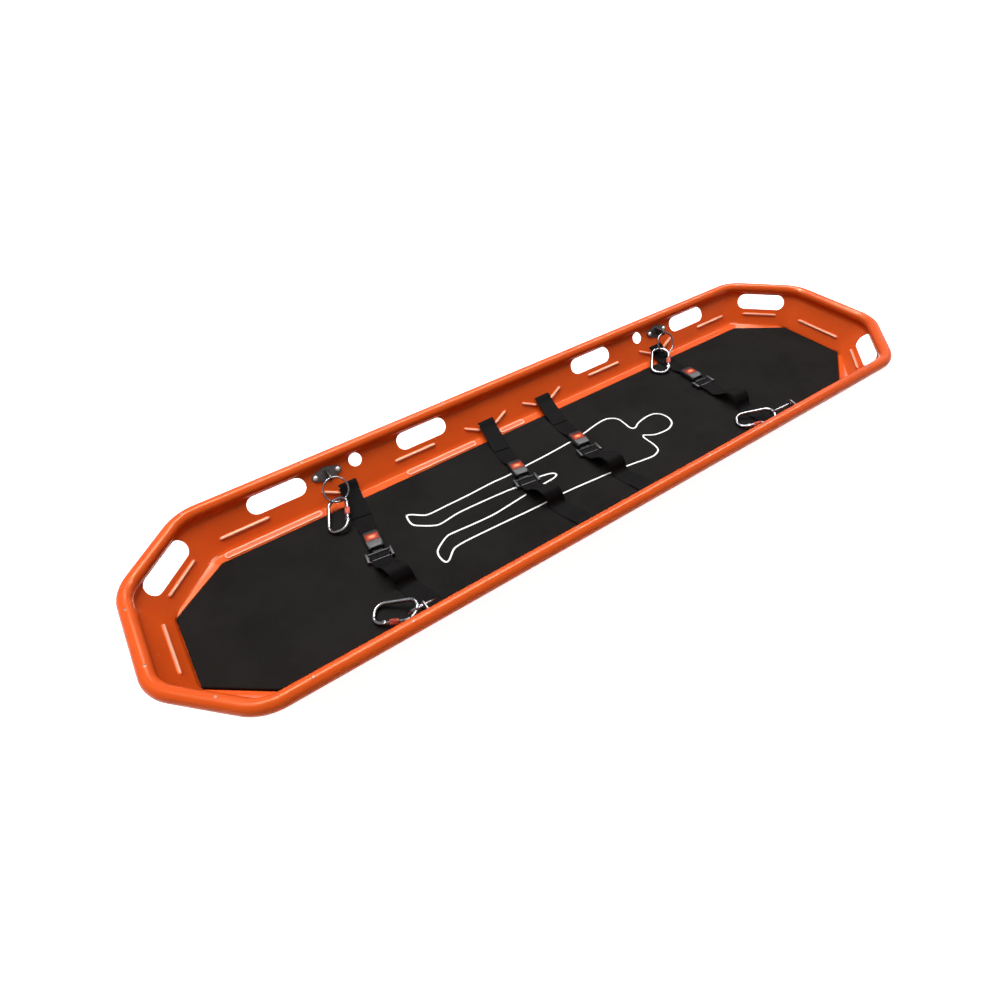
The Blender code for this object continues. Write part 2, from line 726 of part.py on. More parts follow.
def strap_place(strap, distance):
    """Middle of the strap in plan, and the yaw across it, by distance from the back slot."""
    yaw = STRAP_YAW[strap]
    slot_x = STRAP_X[strap]
    hardware_end = HARDWARE_END - HARDWARE_BACK[strap]
    tail = BACK_TAIL - HARDWARE_BACK[strap]
    reach = min(distance, hardware_end)
    x = slot_x + reach * sin(yaw)
    y = SLOT_BACK.y - distance * cos(yaw)
    if distance > hardware_end:
        left = (y + SLOT_BACK.y) / (2 * SLOT_BACK.y - hardware_end * cos(yaw))
        ease = left * left * (3 - 2 * left)
        return (slot_x + (x - slot_x) * ease, y, yaw * ease)
    if distance < tail:
        return (x, y, yaw * max(distance, 0) / tail)
    return (x, y, yaw)


def hardware_frame(strap):
    """Frame of a strap's hardware: the strap runs along -y from its back slot."""
    slot = Matrix.Translation((STRAP_X[strap], SLOT_BACK.y, 0)) @ Matrix.Rotation(STRAP_YAW[strap], 4, "Z")
    return slot @ Matrix.Translation((0, HARDWARE_BACK[strap], 0))


def web_mesh(name, stations):
    """A strip of webbing through stations of x, y, z, yaw and half width."""
    shape = bmesh.new()
    rows = []
    for x, y, z, yaw, half in stations:
        across = Vector((cos(yaw), sin(yaw), 0)) * half
        middle = Vector((x, y, z))
        rows.append((shape.verts.new(middle - across), shape.verts.new(middle + across)))
    for first, second in zip(rows, rows[1:]):
        shape.faces.new((first[0], first[1], second[1], second[0]))
    return mesh_from_bmesh(name, shape)


def add_webbing(name, stations):
    strip = add_object(name, web_mesh(name, stations), "webbing")
    thicken = strip.modifiers.new("webbing", "SOLIDIFY")
    thicken.thickness = WEB_THICKNESS
    thicken.offset = 0
    thicken.use_even_offset = True


def back_webbing(strap):
    """From the buckle to the back slot, round the keeper, and its sewn tail on top."""
    route = fallen(CLOSE_ROUTE if strap in (0, 3) else LOOSE_ROUTE)
    yaw = STRAP_YAW[strap]
    buckle = BUCKLE_START - HARDWARE_BACK[strap]
    tail = BACK_TAIL - HARDWARE_BACK[strap]
    rise = ((buckle + WEB_SLOT_DEPTH - GAP, WEB_NARROW, WEB_SLOT_Z),
            (buckle - 0.002, WEB_NARROW, WEB_SLOT_Z - GAP),
            (buckle - RISE_MIDDLE, WEB_NARROW + RISE_NARROW, MAT_TOP + RISE_HEIGHT),
            (buckle - RISE_START, WEB_HALF_WIDTH, WEB_ON_MAT),
            (tail, WEB_HALF_WIDTH, WEB_ON_MAT))
    stations = [(*strap_place(strap, distance), half, z) for distance, half, z in rise]
    for distance, z in reversed(route):
        stations.append((*strap_place(strap, distance / cos(yaw)), ) + (WEB_HALF_WIDTH, z))
    for distance, z in keeper_loop():
        stations.append((STRAP_X[strap], SLOT_BACK.y - distance, 0.0, WEB_HALF_WIDTH, z))
    for distance, z in route:
        stations.append((*strap_place(strap, distance / cos(yaw)), ) + (WEB_HALF_WIDTH, z + WEB_PITCH))
    stations.append((*strap_place(strap, tail), ) + (WEB_HALF_WIDTH, WEB_ON_MAT + WEB_PITCH))
    add_webbing("webbing_back_%d" % (strap + 1), [(x, y, z, a, half) for x, y, a, half, z in stations])


def slack(strap, room):
    """The stretch that lies past the adjuster, and the hump, made smaller where there is less room."""
    path = []
    if HARDWARE_BACK[strap] > PULLED_FROM:
        path = [(HARDWARE_END - HARDWARE_BACK[strap] * share, MAT_TOP + height) for share, height in PULLED]
    fit = min(1.0, room / SLACK_ROOM)
    for distance, height in HUMP:
        path.append((HARDWARE_END + distance * fit, WEB_ON_MAT + (MAT_TOP + height - WEB_ON_MAT) * fit))
    return path


def front_webbing(strap):
    """From its tail round the adjuster bar, over its slack, to the front slot and keeper."""
    yaw = STRAP_YAW[strap]
    full = 2 * SLOT_BACK.y / cos(yaw)
    bar = BAR_S - HARDWARE_BACK[strap]
    path = [(bar + distance, WEB_ON_MAT) for distance in TAIL_PLACES]
    for step in range(5):
        angle = -pi / 2 - pi * step / 4
        path.append((bar + BAR_LOOP * cos(angle), BAR_Z + BAR_LOOP * sin(angle)))
    path += [(bar + 3 * BAR_RADIUS, BAR_Z + BAR_LOOP), (bar + 5.7 * BAR_RADIUS, BAR_Z + BAR_LOOP + GAP)]
    path += slack(strap, full - FRONT_TAIL / cos(yaw) - HARDWARE_END)
    stations = [(*strap_place(strap, distance), z) for distance, z in path]
    route = fallen(CLOSE_ROUTE)
    for distance, z in reversed(route):
        stations.append((*strap_place(strap, full - distance / cos(yaw)), z))
    for distance, z in keeper_loop():
        stations.append((STRAP_X[strap], distance - SLOT_BACK.y, 0.0, z))
    for distance, z in route + [(FRONT_TAIL, WEB_ON_MAT)]:
        stations.append((*strap_place(strap, full - distance / cos(yaw)), z + WEB_PITCH))
    strip = [(x, y, z, a, WEB_HALF_WIDTH) for x, y, a, z in stations]
    add_webbing("webbing_front_%d" % (strap + 1), strip)


def build_keepers(strap):
    """The two bars that hold the sewn loops behind the slots."""
    for index, word in ((BACK, "back"), (FRONT, "front")):
        frame = panel(index)
        place = STRAP_X[strap] * (1 if index == BACK else -1)
        half = KEEPER_LENGTH / 2
        mesh = rod_mesh("keeper", KEEPER_RADIUS, (-half, 0, 0), (half, 0, 0), 8)
        spot = frame @ Matrix.Translation((place, SLOT_T, -KEEPER_DEPTH))
        add_object("keeper_%s_%d" % (word, strap + 1), mesh, "plate_steel", spot)


def build_buckle(strap):
    """Buckle body with a pocket for its button and slots for webbing and tongue."""
    frame = hardware_frame(strap)
    half = BUCKLE_WIDTH / 2
    low = MAT_TOP + GAP
    top = low + BUCKLE_HEIGHT
    end = BUCKLE_START + BUCKLE_LENGTH
    body = box_mesh("buckle", (-half, -end, low), (half, -BUCKLE_START, top), BUCKLE_ROUNDING)
    buckle = add_object("buckle_body_%d" % (strap + 1), body, "buckle_plastic", frame)
    button_half = BUTTON_WIDTH / 2
    button_end = BUTTON_START + BUTTON_LENGTH
    floor = top + BUTTON_PROUD - BUTTON_THICKNESS - BUTTON_TRAVEL - GAP
    pocket = box_mesh("pocket", (-button_half - GAP, -button_end - GAP, floor),
                      (button_half + GAP, -BUTTON_START + GAP, top + BUTTON_PROUD))
    combine(buckle, pocket, "DIFFERENCE")
    web_half = WEB_NARROW + 2 * GAP
    web_high = WEB_THICKNESS / 2 + 2 * GAP
    web_slot = box_mesh("web_slot", (-web_half, -BUCKLE_START - WEB_SLOT_DEPTH, WEB_SLOT_Z - web_high),
                        (web_half, -BUCKLE_START + 0.01, WEB_SLOT_Z + web_high))
    combine(buckle, web_slot, "DIFFERENCE")
    blade_half = TONGUE_WIDTH / 2 + GAP
    blade_high = TONGUE_THICKNESS / 2 + GAP
    blade_slot = box_mesh("blade_slot", (-blade_half, -end - 0.01, TONGUE_Z - blade_high),
                          (blade_half, -end + TONGUE_DEPTH + GAP, TONGUE_Z + blade_high))
    combine(buckle, blade_slot, "DIFFERENCE")
    shape = box_mesh("button", (-button_half, -BUTTON_LENGTH / 2, -BUTTON_THICKNESS),
                     (button_half, BUTTON_LENGTH / 2, 0), 0.0008)
    spot = Matrix.Translation((0, -BUTTON_START - BUTTON_LENGTH / 2, top + BUTTON_PROUD))
    add_object("release_button_%d" % (strap + 1), shape, "button_red", frame @ spot)


def build_tongue(strap):
    """Tongue blade with the adjuster frame behind it, and the bar that the webbing goes round."""
    frame = hardware_frame(strap)
    blade_start = BUCKLE_START + BUCKLE_LENGTH - TONGUE_DEPTH
    half = FRAME_WIDTH / 2
    low = TONGUE_Z - FRAME_THICKNESS / 2 + 0.0002
    high = low + FRAME_THICKNESS
    end = FRAME_START + FRAME_LENGTH
    mesh = box_mesh("tongue", (-half, -end, low), (half, -FRAME_START, high), 0.001)
    tongue = add_object("tongue_%d" % (strap + 1), mesh, "black_steel", frame)
    for side in (-1, 1):
        outer = side * half
        inner = side * (half - CHEEK_WIDTH)
        cheek = box_mesh("cheek", (min(outer, inner), -end - 0.001, BAR_Z - CHEEK_HEIGHT / 2 + 0.001),
                         (max(outer, inner), -FRAME_START + 0.001, BAR_Z + CHEEK_HEIGHT / 2), 0.001)
        combine(tongue, cheek, "UNION")
    blade = box_mesh("blade", (-TONGUE_WIDTH / 2, -FRAME_START - 0.002, TONGUE_Z - TONGUE_THICKNESS / 2),
                     (TONGUE_WIDTH / 2, -blade_start, TONGUE_Z + TONGUE_THICKNESS / 2))
    combine(tongue, blade, "UNION")
    window_half = half - CHEEK_WIDTH
    window = box_mesh("window", (-window_half, -end + FRAME_RAIL, low - 0.002),
                      (window_half, -FRAME_START - FRAME_RAIL, high + 0.002))
    combine(tongue, window, "DIFFERENCE")
    reach = window_half + BAR_SEAT
    seat = rod_mesh("seat", BAR_RADIUS + GAP, (-reach - GAP, -BAR_S, BAR_Z), (reach + GAP, -BAR_S, BAR_Z))
    combine(tongue, seat, "DIFFERENCE")
    bar = rod_mesh("bar", BAR_RADIUS, (-reach, 0, 0), (reach, 0, 0))
    spot = Matrix.Translation((0, -BAR_S, BAR_Z))
    add_object("adjuster_bar_%d" % (strap + 1), bar, "black_steel", frame @ spot)


# Lifting points

def lug_outline():
    """Outline of the lug, by distance out of the wall and height up its slope."""
    tip = circle(LUG_RADIUS, (LUG_REACH, -LUG_DROP), 12)
    return hull(tip + [(GAP + PLATE_THICKNESS / 2, LUG_ROOT), (GAP + PLATE_THICKNESS / 2, -LUG_ROOT)])


def build_anchor(name, frame):
    """Base plate with its lug, in the wall's frame moved to the middle of the bolts."""
    outline = hull(circle(PLATE_END_RADIUS, (BOLT_SPACING / 2, 0), 12)
                   + circle(PLATE_END_RADIUS, (-BOLT_SPACING / 2, 0), 12)
                   + circle(PLATE_MIDDLE_RADIUS, (0, 0), 12))
    mesh = plate_mesh("anchor", outline, GAP, GAP + PLATE_THICKNESS)
    anchor = add_object("anchor_" + name, mesh, "plate_steel", frame)
    upright = axes_matrix((0, 0, 1), (0, 1, 0), (-1, 0, 0), (0, 0, 0))
    half = LUG_THICKNESS / 2
    combine(anchor, plate_mesh("lug", lug_outline(), -half, half), "UNION", frame @ upright)
    hole = circle(LUG_HOLE_RADIUS, (LUG_REACH, -LUG_DROP), 12)
    combine(anchor, plate_mesh("lug_hole", hole, -2 * half, 2 * half), "DIFFERENCE", frame @ upright)
    for side in (-1, 1):
        outline = circle(BOLT_RADIUS + GAP, (side * BOLT_SPACING / 2, 0), 8)
        combine(anchor, plate_mesh("bolt_hole", outline, -0.01, 0.01), "DIFFERENCE")


def build_bolts(name, frame):
    """Two bolts screwed into one nut strip behind the wall."""
    back = -SHEET - GAP
    half = BOLT_SPACING / 2
    outline = stadium(BOLT_SPACING + NUT_STRIP_WIDTH, NUT_STRIP_WIDTH, 4)
    mesh = plate_mesh("bolts", outline, back - NUT_STRIP_THICKNESS, back)
    bolts = add_object("anchor_bolts_" + name, mesh, "bright_steel", frame)
    seat = 2 * GAP + PLATE_THICKNESS
    top = seat + BOLT_HEAD_HEIGHT
    profile = ((0, top), (BOLT_HEAD_RADIUS * 0.7, top), (BOLT_HEAD_RADIUS, top - BOLT_HEAD_RADIUS * 0.3),
               (BOLT_HEAD_RADIUS, seat), (BOLT_RADIUS, seat), (BOLT_RADIUS, back - NUT_STRIP_THICKNESS / 2),
               (0, back - NUT_STRIP_THICKNESS / 2))
    for side in (-1, 1):
        bolt = turned_mesh("bolt", profile, BOLT_STEPS)
        combine(bolts, bolt, "UNION", frame @ Matrix.Translation((side * half, 0, 0)))


def ring_mesh():
    """The ring, its origin on the wire where the lug carries it, hanging down y."""
    bpy.ops.mesh.primitive_torus_add(
        major_radius=RING_RADIUS, minor_radius=RING_WIRE, major_segments=20, minor_segments=8)
    holder = bpy.context.object
    mesh = holder.data
    bpy.data.objects.remove(holder, do_unlink=True)
    mesh.transform(Matrix.Translation((0, -RING_RADIUS, 0)))
    return mesh


def carabiner_line():
    """Middle line of the carabiner's body, from its nose round to its hinge."""
    half = GATE_Y
    length = CARABINER_LENGTH - 2 * CARABINER_ROD
    bend = CARABINER_BEND
    neck = NOSE_X - NOSE_LENGTH
    path = [(NOSE_X, half), (neck, half), (neck - 2 * GAP, half)]
    path += circle(bend, (bend, half - bend), 4, pi / 2, pi / 2)
    path += circle(bend, (bend, bend - half), 4, pi, pi / 2)
    path += circle(bend, (length - bend, bend - half), 4, -pi / 2, pi / 2)
    path += circle(bend, (length - bend, half - bend), 4, 0, pi / 2)
    path.append((PIN_X + FORK_RADIUS + 2 * GATE_GAP, half))
    return [(x, y, 0) for x, y in path]


def build_carabiner_body(name, frame):
    """The bent rod with the tang that the gate turns on."""
    line = carabiner_line()
    thin = GATE_ROD / CARABINER_ROD
    factors = [thin, thin] + [1.0] * (len(line) - 2)
    mesh = tube_mesh("carabiner", line, CARABINER_ROD, factors)
    body = add_object("carabiner_" + name, mesh, "bright_steel", frame)
    root = PIN_X + FORK_RADIUS + 2 * GATE_GAP + TANG_HALF
    tang = hull(circle(TANG_RADIUS, (PIN_X, GATE_Y), 12)
                + [(root, GATE_Y - TANG_RADIUS * 0.8), (root, GATE_Y + TANG_RADIUS * 0.8)])
    combine(body, plate_mesh("tang", tang, -TANG_HALF, TANG_HALF), "UNION")
    hole = circle(PIN_RADIUS + GAP, (PIN_X, GATE_Y), 8)
    combine(body, plate_mesh("pin_hole", hole, -2 * CARABINER_ROD, 2 * CARABINER_ROD), "DIFFERENCE")
    return body


def build_gate(name, frame):
    """The gate with its fork and pin, its origin on the pin."""
    tip = NOSE_X + GATE_GAP - PIN_X
    gate = add_object("gate_" + name, rod_mesh("gate", GATE_ROD, (tip, 0, 0), (0, 0, 0)), "bright_steel",
                      frame @ Matrix.Translation((PIN_X, GATE_Y, 0)))
    fork_half = CARABINER_ROD
    combine(gate, plate_mesh("fork", circle(FORK_RADIUS, steps=16), -fork_half, fork_half), "UNION")
    slot_half = TANG_HALF + GAP
    reach = 2 * FORK_RADIUS
    slot = box_mesh("slot", (-FORK_RADIUS, -reach, -slot_half), (reach, reach, slot_half))
    combine(gate, slot, "DIFFERENCE")
    combine(gate, plate_mesh("pin", circle(PIN_RADIUS, steps=8), -fork_half * 0.9, fork_half * 0.9), "UNION")
    return gate


def build_sleeve(name, frame):
    """The locking sleeve round the gate, drawn back from the nose."""
    shape = rod_mesh("sleeve", SLEEVE_RADIUS, (0, 0, 0), (SLEEVE_LENGTH, 0, 0), 16)
    sleeve = add_object("locking_sleeve_" + name, shape, "sleeve_red",
                        frame @ Matrix.Translation((SLEEVE_X, GATE_Y, 0)))
    over = 2 * GATE_ROD
    bore = rod_mesh("bore", GATE_ROD + GAP, (-over, 0, 0), (SLEEVE_LENGTH + over, 0, 0), 16)
    combine(sleeve, bore, "DIFFERENCE")
    return sleeve


def lowest_point(frame):
    """Height of the lowest point of a carabiner in a frame."""
    heights = [(frame @ Vector(point)).z - CARABINER_ROD for point in carabiner_line()]
    fork = (frame @ Vector((PIN_X, GATE_Y, 0))).z - Vector((FORK_RADIUS, CARABINER_ROD)).length
    sleeve_ends = (SLEEVE_X, SLEEVE_X + SLEEVE_LENGTH)
    sleeve = [(frame @ Vector((x, GATE_Y, 0))).z - SLEEVE_RADIUS for x in sleeve_ends]
    return min(heights + sleeve + [fork])


def leaning_ring(wall, lean):
    """Frame of a ring in its lug, swung out of the wall by an angle."""
    drop = LUG_HOLE_RADIUS - RING_WIRE - GAP
    hook = wall @ Vector((0, -LUG_DROP, LUG_REACH)) - Vector((0, 0, drop))
    return Matrix.Translation(hook) @ wall.to_3x3().to_4x4() @ Matrix.Rotation(-lean, 4, "X")


def hanging_frames(name, wall):
    """Frames of a ring and its carabiner, the ring leaning until the carabiner lies on the mat."""
    turns, place = CARABINERS[name][2:]
    turn = Euler([radians(angle) for angle in turns]).to_matrix().to_4x4()
    hold = Matrix.Translation(Vector(place) + Vector((0, -2 * RING_RADIUS, 0))) @ turn
    least, most = (0.0, MOST_LEAN)
    if lowest_point(leaning_ring(wall, least) @ hold) > MAT_TOP + REST_GAP:
        most = least
    for _ in range(20):
        middle = (least + most) / 2
        if lowest_point(leaning_ring(wall, middle) @ hold) > MAT_TOP + REST_GAP:
            most = middle
        else:
            least = middle
    ring = leaning_ring(wall, most)
    return ring, ring @ hold


def build_lifting_point(name):
    """Anchor, bolts, ring and carabiner; the carabiner's pieces hang on the foot of the ring."""
    end, side = CARABINERS[name][:2]
    index = BACK if side > 0 else FRONT
    wall = panel(index) @ Matrix.Translation((side * end * ANCHOR_X, ANCHOR_T, 0))
    build_anchor(name, wall)
    build_bolts(name, wall)
    ring, frame = hanging_frames(name, wall)
    add_object("ring_" + name, ring_mesh(), "bright_steel", ring)
    foot = empty("ring_foot_" + name, ring @ Matrix.Translation((0, -2 * RING_RADIUS, 0)))
    bpy.context.view_layer.update()
    for build in (build_carabiner_body, build_gate, build_sleeve):
        piece = build(name, frame)
        piece.parent = foot
        piece.matrix_parent_inverse = foot.matrix_world.inverted()


build_shell()
build_rim_tube()
build_mat()
for strap_index in range(len(STRAP_X)):
    build_keepers(strap_index)
    back_webbing(strap_index)
    build_buckle(strap_index)
    build_tongue(strap_index)
    front_webbing(strap_index)
for point_name in CARABINERS:
    build_lifting_point(point_name)
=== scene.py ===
"""Basket stretcher: the finish of every piece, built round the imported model.

Metres. +X runs to the head end, +Y to the far side and +Z up.
"""

import json
from math import atan2, copysign, cos, pi, radians, sin, sqrt, tan

import bmesh
import bpy
from bpy.props import FloatProperty, FloatVectorProperty, PointerProperty
from mathutils import Matrix, Vector


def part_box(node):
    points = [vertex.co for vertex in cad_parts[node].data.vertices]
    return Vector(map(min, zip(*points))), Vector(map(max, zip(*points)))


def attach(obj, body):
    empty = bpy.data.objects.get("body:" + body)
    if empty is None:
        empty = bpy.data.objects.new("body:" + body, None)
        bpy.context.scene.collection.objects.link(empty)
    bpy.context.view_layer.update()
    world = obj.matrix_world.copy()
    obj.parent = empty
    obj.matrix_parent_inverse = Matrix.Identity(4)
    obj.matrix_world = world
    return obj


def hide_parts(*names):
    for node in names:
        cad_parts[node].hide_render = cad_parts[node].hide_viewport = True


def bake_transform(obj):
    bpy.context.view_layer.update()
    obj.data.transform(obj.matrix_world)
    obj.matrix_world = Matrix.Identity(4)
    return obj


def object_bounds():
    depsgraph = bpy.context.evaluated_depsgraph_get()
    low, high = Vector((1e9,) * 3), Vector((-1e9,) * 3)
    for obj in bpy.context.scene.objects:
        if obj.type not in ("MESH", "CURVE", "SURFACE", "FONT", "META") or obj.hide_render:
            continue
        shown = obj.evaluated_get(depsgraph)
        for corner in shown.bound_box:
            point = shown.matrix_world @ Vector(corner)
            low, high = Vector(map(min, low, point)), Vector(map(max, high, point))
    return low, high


bl_info = {
    "name": "Basket Stretcher",
    "version": (1, 0, 0),
    "blender": (4, 5, 0),
    "location": "View3D > Sidebar > Stretcher",
    "description": "Builds the finished pieces of a moulded basket stretcher round its packed model",
    "category": "Add Mesh",
}

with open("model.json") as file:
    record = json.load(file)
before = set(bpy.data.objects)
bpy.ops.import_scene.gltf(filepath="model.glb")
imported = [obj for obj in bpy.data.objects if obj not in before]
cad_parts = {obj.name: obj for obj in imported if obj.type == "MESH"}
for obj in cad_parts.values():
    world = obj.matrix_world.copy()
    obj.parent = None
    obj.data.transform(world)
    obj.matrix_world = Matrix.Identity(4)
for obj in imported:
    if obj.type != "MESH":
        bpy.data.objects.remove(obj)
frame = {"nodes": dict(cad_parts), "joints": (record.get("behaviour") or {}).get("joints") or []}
CAD_BOX = [list(corner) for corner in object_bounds()]
JOINTS = {joint["name"]: joint for joint in frame["joints"]}
BODY = "stretcher"
POINTS = ("foot_back", "head_back", "foot_front", "head_front")
STRAPS = (1, 2, 3, 4)

# Clearance between neighbouring surfaces
GAP = 0.0003

# Rim, walls, band and floor of the shell. Pairs called cut and inset run along x and along y
SHEET = 0.003
ROLL_RADIUS = 0.016357
ROLL_START = radians(240)
ROLL_END = radians(-90)
ROLL_STEPS = 38
JUNCTION_SHARE = 0.86
JUNCTION_END = radians(206)
JUNCTION_STEPS = 8
RIM_BEND = 0.095
RIM_CUT = (0.1546, 0.1561)
CREASE_INSET = (0.0566, 0.0618)
CREASE_CUT = (0.1250, 0.1253)
CREASE_BEND = 0.060
CREASE_SOFTEN = 0.13
CREASE_STEPS = 10
CORNER_STEPS = 10
LENGTH = CAD_BOX[1][0] - CAD_BOX[0][0]
WIDTH = CAD_BOX[1][1] - CAD_BOX[0][1]
RIM_Z = CAD_BOX[1][2] - ROLL_RADIUS
MAT_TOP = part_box("mat")[1].z
MAT_THICKNESS = 0.010
FLOOR_TOP = MAT_TOP - MAT_THICKNESS
BAND_Z = FLOOR_TOP + 0.006
CREASE_Z = BAND_Z + 0.004
MAT_INSET = (0.0050, 0.0285)
MAT_CUT = (0.1320, 0.1002)
MAT_BEND = 0.012
MAT_MARGIN = 0.0015
BAND_STEP = 0.002
# Shares that round the band's edge over the mat
BAND_LIP = (0.2, 0.02)
RUNNER_Y = 0.110
RUNNER_LENGTH = 1.620
RUNNER_WIDTH = 0.075
RUNNER_TAPER = 0.014
RUNNER_SOFT = 0.002
TROUGH_SOFT = 0.001

# Openings: places along a wall, and t, their height up its slope
HANDHOLE_X = (0.703, 0.2955)
HANDHOLE = (0.149, 0.047)
HANDHOLE_T = 0.0745
WALL_SHIFT = 0.001
ROUND_HOLE_X = 0.4895
ROUND_HOLE_RADIUS = 0.0175
ROUND_HOLE_T = 0.081
# The strap slots are drawn closer round the webbing than in the CAD, as they look
SLOT_DRAWN = (0.049, 0.010)
SLOT_CORNER = 0.0015
SLOT_T = 0.033
ANCHOR_X = 0.570
ANCHOR_T = 0.077
BOLT_SPACING = 0.060
BOLT_HOLE_RADIUS = 0.0033
CUT_REACH = 0.012

# Beads and pads. A bead's section runs across it and up from the wall, in millimetres
BEAD_T = 0.03396
BEAD_X = (0.8015, 0.332)
BEAD_LENGTHS = {"side": 0.125, "corner": 0.110, "end": 0.148}
BEAD_END = 0.008
BEAD_END_STEPS = 7
BEAD_SECTION = ((6, -0.8), (5.6, 0.3), (4.9, 1.4), (1.4, 4.3), (0.2, 4.8), (-1.4, 4.6), (-2.7, 3.7),
                (-5.0, 0.2), (-6, -0.8))
SLOT_BEAD = ((0.029, 0.020), (0.066, 0.038))
SLOT_BEAD_EXTRA = 0.010
SLOT_BEAD_BOW = -0.003
PAD_SPANS = ((-0.870, -0.620), (-0.378, -0.159), (-0.078, 0.007))
PAD_WIDTH = 0.019
PAD_RAISE = 0.003
# Inset from the pad's outline, and height as a share of its rise
PAD_SECTION = ((0.0, -1 / 3), (0.0, 0.5), (0.0005, 0.85), (0.0016, 1.0), (0.0034, 1.0), (0.0046, 0.8),
               (0.0054, 0.45))
# Where the painted highlights on the ridges of beads and pads may lie: between two heights on a wall, clear
# of its ends, and on the pads
HIGHLIGHT_BEADS = (0.010, 0.050)
HIGHLIGHT_MARGIN = 0.026
HIGHLIGHT_PADS = (0.0005, 0.004)
HIGHLIGHT_PAD_HALF = 0.010
HIGHLIGHT_PAD_SHARE = 1.3

# Rivets by their place round the rim, and how far round the roll from level with its middle
RIVETS = (
    (-1.074, 0.072, 90), (-1.074, -0.086, 108), (-0.981, -0.229, 102), (-0.821, -0.30, 84),
    (-0.617, -0.30, 84), (-0.211, -0.30, 108), (0.197, -0.30, 90), (0.395, -0.30, 84),
    (0.815, -0.30, 90), (0.980, -0.229, 102), (1.074, -0.080, 100), (1.074, 0.120, 126),
    (0.938, 0.271, 126), (0.612, 0.30, 96), (0.201, 0.30, 96), (-0.211, 0.30, 96),
    (-0.617, 0.30, 96), (-0.905, 0.271, 100),
)
# The head's dome as shares of its radius and height, and how deep it sits
RIVET_SEAT = 0.0006
RIVET_DOME = ((0, 1), (0.35, 0.93), (0.65, 0.74), (0.88, 0.42), (1, 0.12))

# Mat: cells of its grid, how near its middle line the ends' roll eases, and the faint waves of its top,
# each by how fast it turns along x and y and where it starts
MAT_GRID = (120, 26)
MAT_SINK = 0.0003
MAT_WAVE = 0.0001
MAT_EASE = 0.02
MAT_WAVES = ((9.1, 0.0, 1.0), (5.3, 11.0, 0.0), (-3.7, 14.0, 0.6))
# The printed line's section: place across it as a share, and its rise over the mat
INK_SECTION = ((-1, 0.00002), (-0.8, 0.00016), (0.8, 0.00016), (1, 0.00002), (1, -0.0002), (-1, -0.0002))

# Webbing, and the hardware along each strap from its back slot
WEB_THICKNESS = 0.0018
WEB_HALF = 0.024
WEB_NARROW = 0.018
WEB_PITCH = 0.0024
# Half a section: side, step in from the selvedge, and share of the thickness
WEB_SECTION = ((-1.0, 0.0, 0.0), (-1.0, 0.0012, 0.85), (-1.0, 0.0030, 1.0), (-0.5, 0, 0.94), (0, 0, 0.92),
               (0.5, 0, 0.94), (1.0, -0.0030, 1.0), (1.0, -0.0012, 0.85), (1.0, 0.0, 0.0))
# Where the sewn tails end, and how far each strap's hardware is set back toward its back slot
BACK_TAIL = 0.118
FRONT_TAIL = 0.085
HARDWARE_BACK = {1: 0.008, 2: 0.010, 3: 0.010, 4: 0.050}
BUCKLE = (0.187, 0.243)
BUCKLE_SIZE = (0.040, 0.017)
BUTTON = (0.200, 0.219)
BUTTON_SIZE = (0.029, 0.005)
BUTTON_PROUD = 0.001
BUTTON_TRAVEL = 0.003
WEB_SLOT_Z = MAT_TOP + 0.009
TONGUE_Z = MAT_TOP + 0.0053
TONGUE_SIZE = (0.026, 0.0025)
TONGUE_DEPTH = 0.024
ADJUSTER = (0.251, 0.279)
ADJUSTER_WIDTH = 0.066
ADJUSTER_THICKNESS = 0.005
ADJUSTER_RAIL = 0.0037
ADJUSTER_LIFT = 0.0002
CHEEK_WIDTH = 0.007
CHEEK_HEIGHT = 0.011
BAR_RADIUS = 0.003
BAR_S = 0.263
BAR_Z = TONGUE_Z + 0.0012
BAR_SEAT = 0.004
HARDWARE_END = ADJUSTER[1] + 0.006
KEEPER_RADIUS = 0.0025
WEB_ON_MAT = MAT_TOP + WEB_THICKNESS / 2 + 2 * GAP

# Stitching: where the boxes start on the two straps that show one, and the stitches themselves
BOX_START = {1: 0.070, 4: 0.059}
FRONT_BOX_END = 0.064
BOX_HALF = 0.017
BOX_MARGIN = 0.003
LINE_MARGIN = 0.004
STITCH_PITCH = 0.0036
STITCH_SINK = 0.0002
# One stitch: place along it, rise and radius
STITCH = ((-0.0013, 0, 0.00015), (-0.0008, 0.0003, 0.0003), (0.0008, 0.0003, 0.0003), (0.0013, 0, 0.00015))

# The buckle's case: distance along it, and shares of its width and height; its corners' power
CASE_SECTIONS = ((0.0, 0.86, 0.80), (0.0012, 0.93, 0.90), (0.004, 0.98, 0.97), (0.010, 1.0, 1.0),
                 (0.030, 1.0, 1.0), (0.046, 1.0, 0.97), (0.052, 0.98, 0.93), (0.0548, 0.94, 0.87),
                 (0.056, 0.87, 0.78))
CASE_POWER = 0.32
CASE_SIDES = 40
# Beyond its thick part the case lies a little lower
CASE_SAG_FROM = 0.030
CASE_SAG = 0.0004
# Half heights of the mouths for webbing and tongue, half widths of the inlays in its top
MOUTH_HALF = 0.0016
TONGUE_MOUTH_HALF = 0.00155
FACE_HALF = 0.0178
SURROUND_HALF = 0.0172
WEB_MOUTH_DEPTH = 0.0105
FACE_SPAN = (BUTTON[1] + 0.0032, BUCKLE[1] - 0.0010)
FACE_TIP = 0.005
SURROUND_SPAN = (BUTTON[0] - 0.0035, BUTTON[1] + 0.003)
# How deep an inlay sits, and how far it stands out
INLAY = (0.0012, 0.0003)
# The bar across the button: shares of its face, depth and rise
BUTTON_BAR = (0.55, 0.28, 0.0012, 0.0004)

# The adjuster's cheeks stand past its frame, and its blade starts inside it
CHEEK_PROUD = 0.001
BLADE_ROOT = 0.002
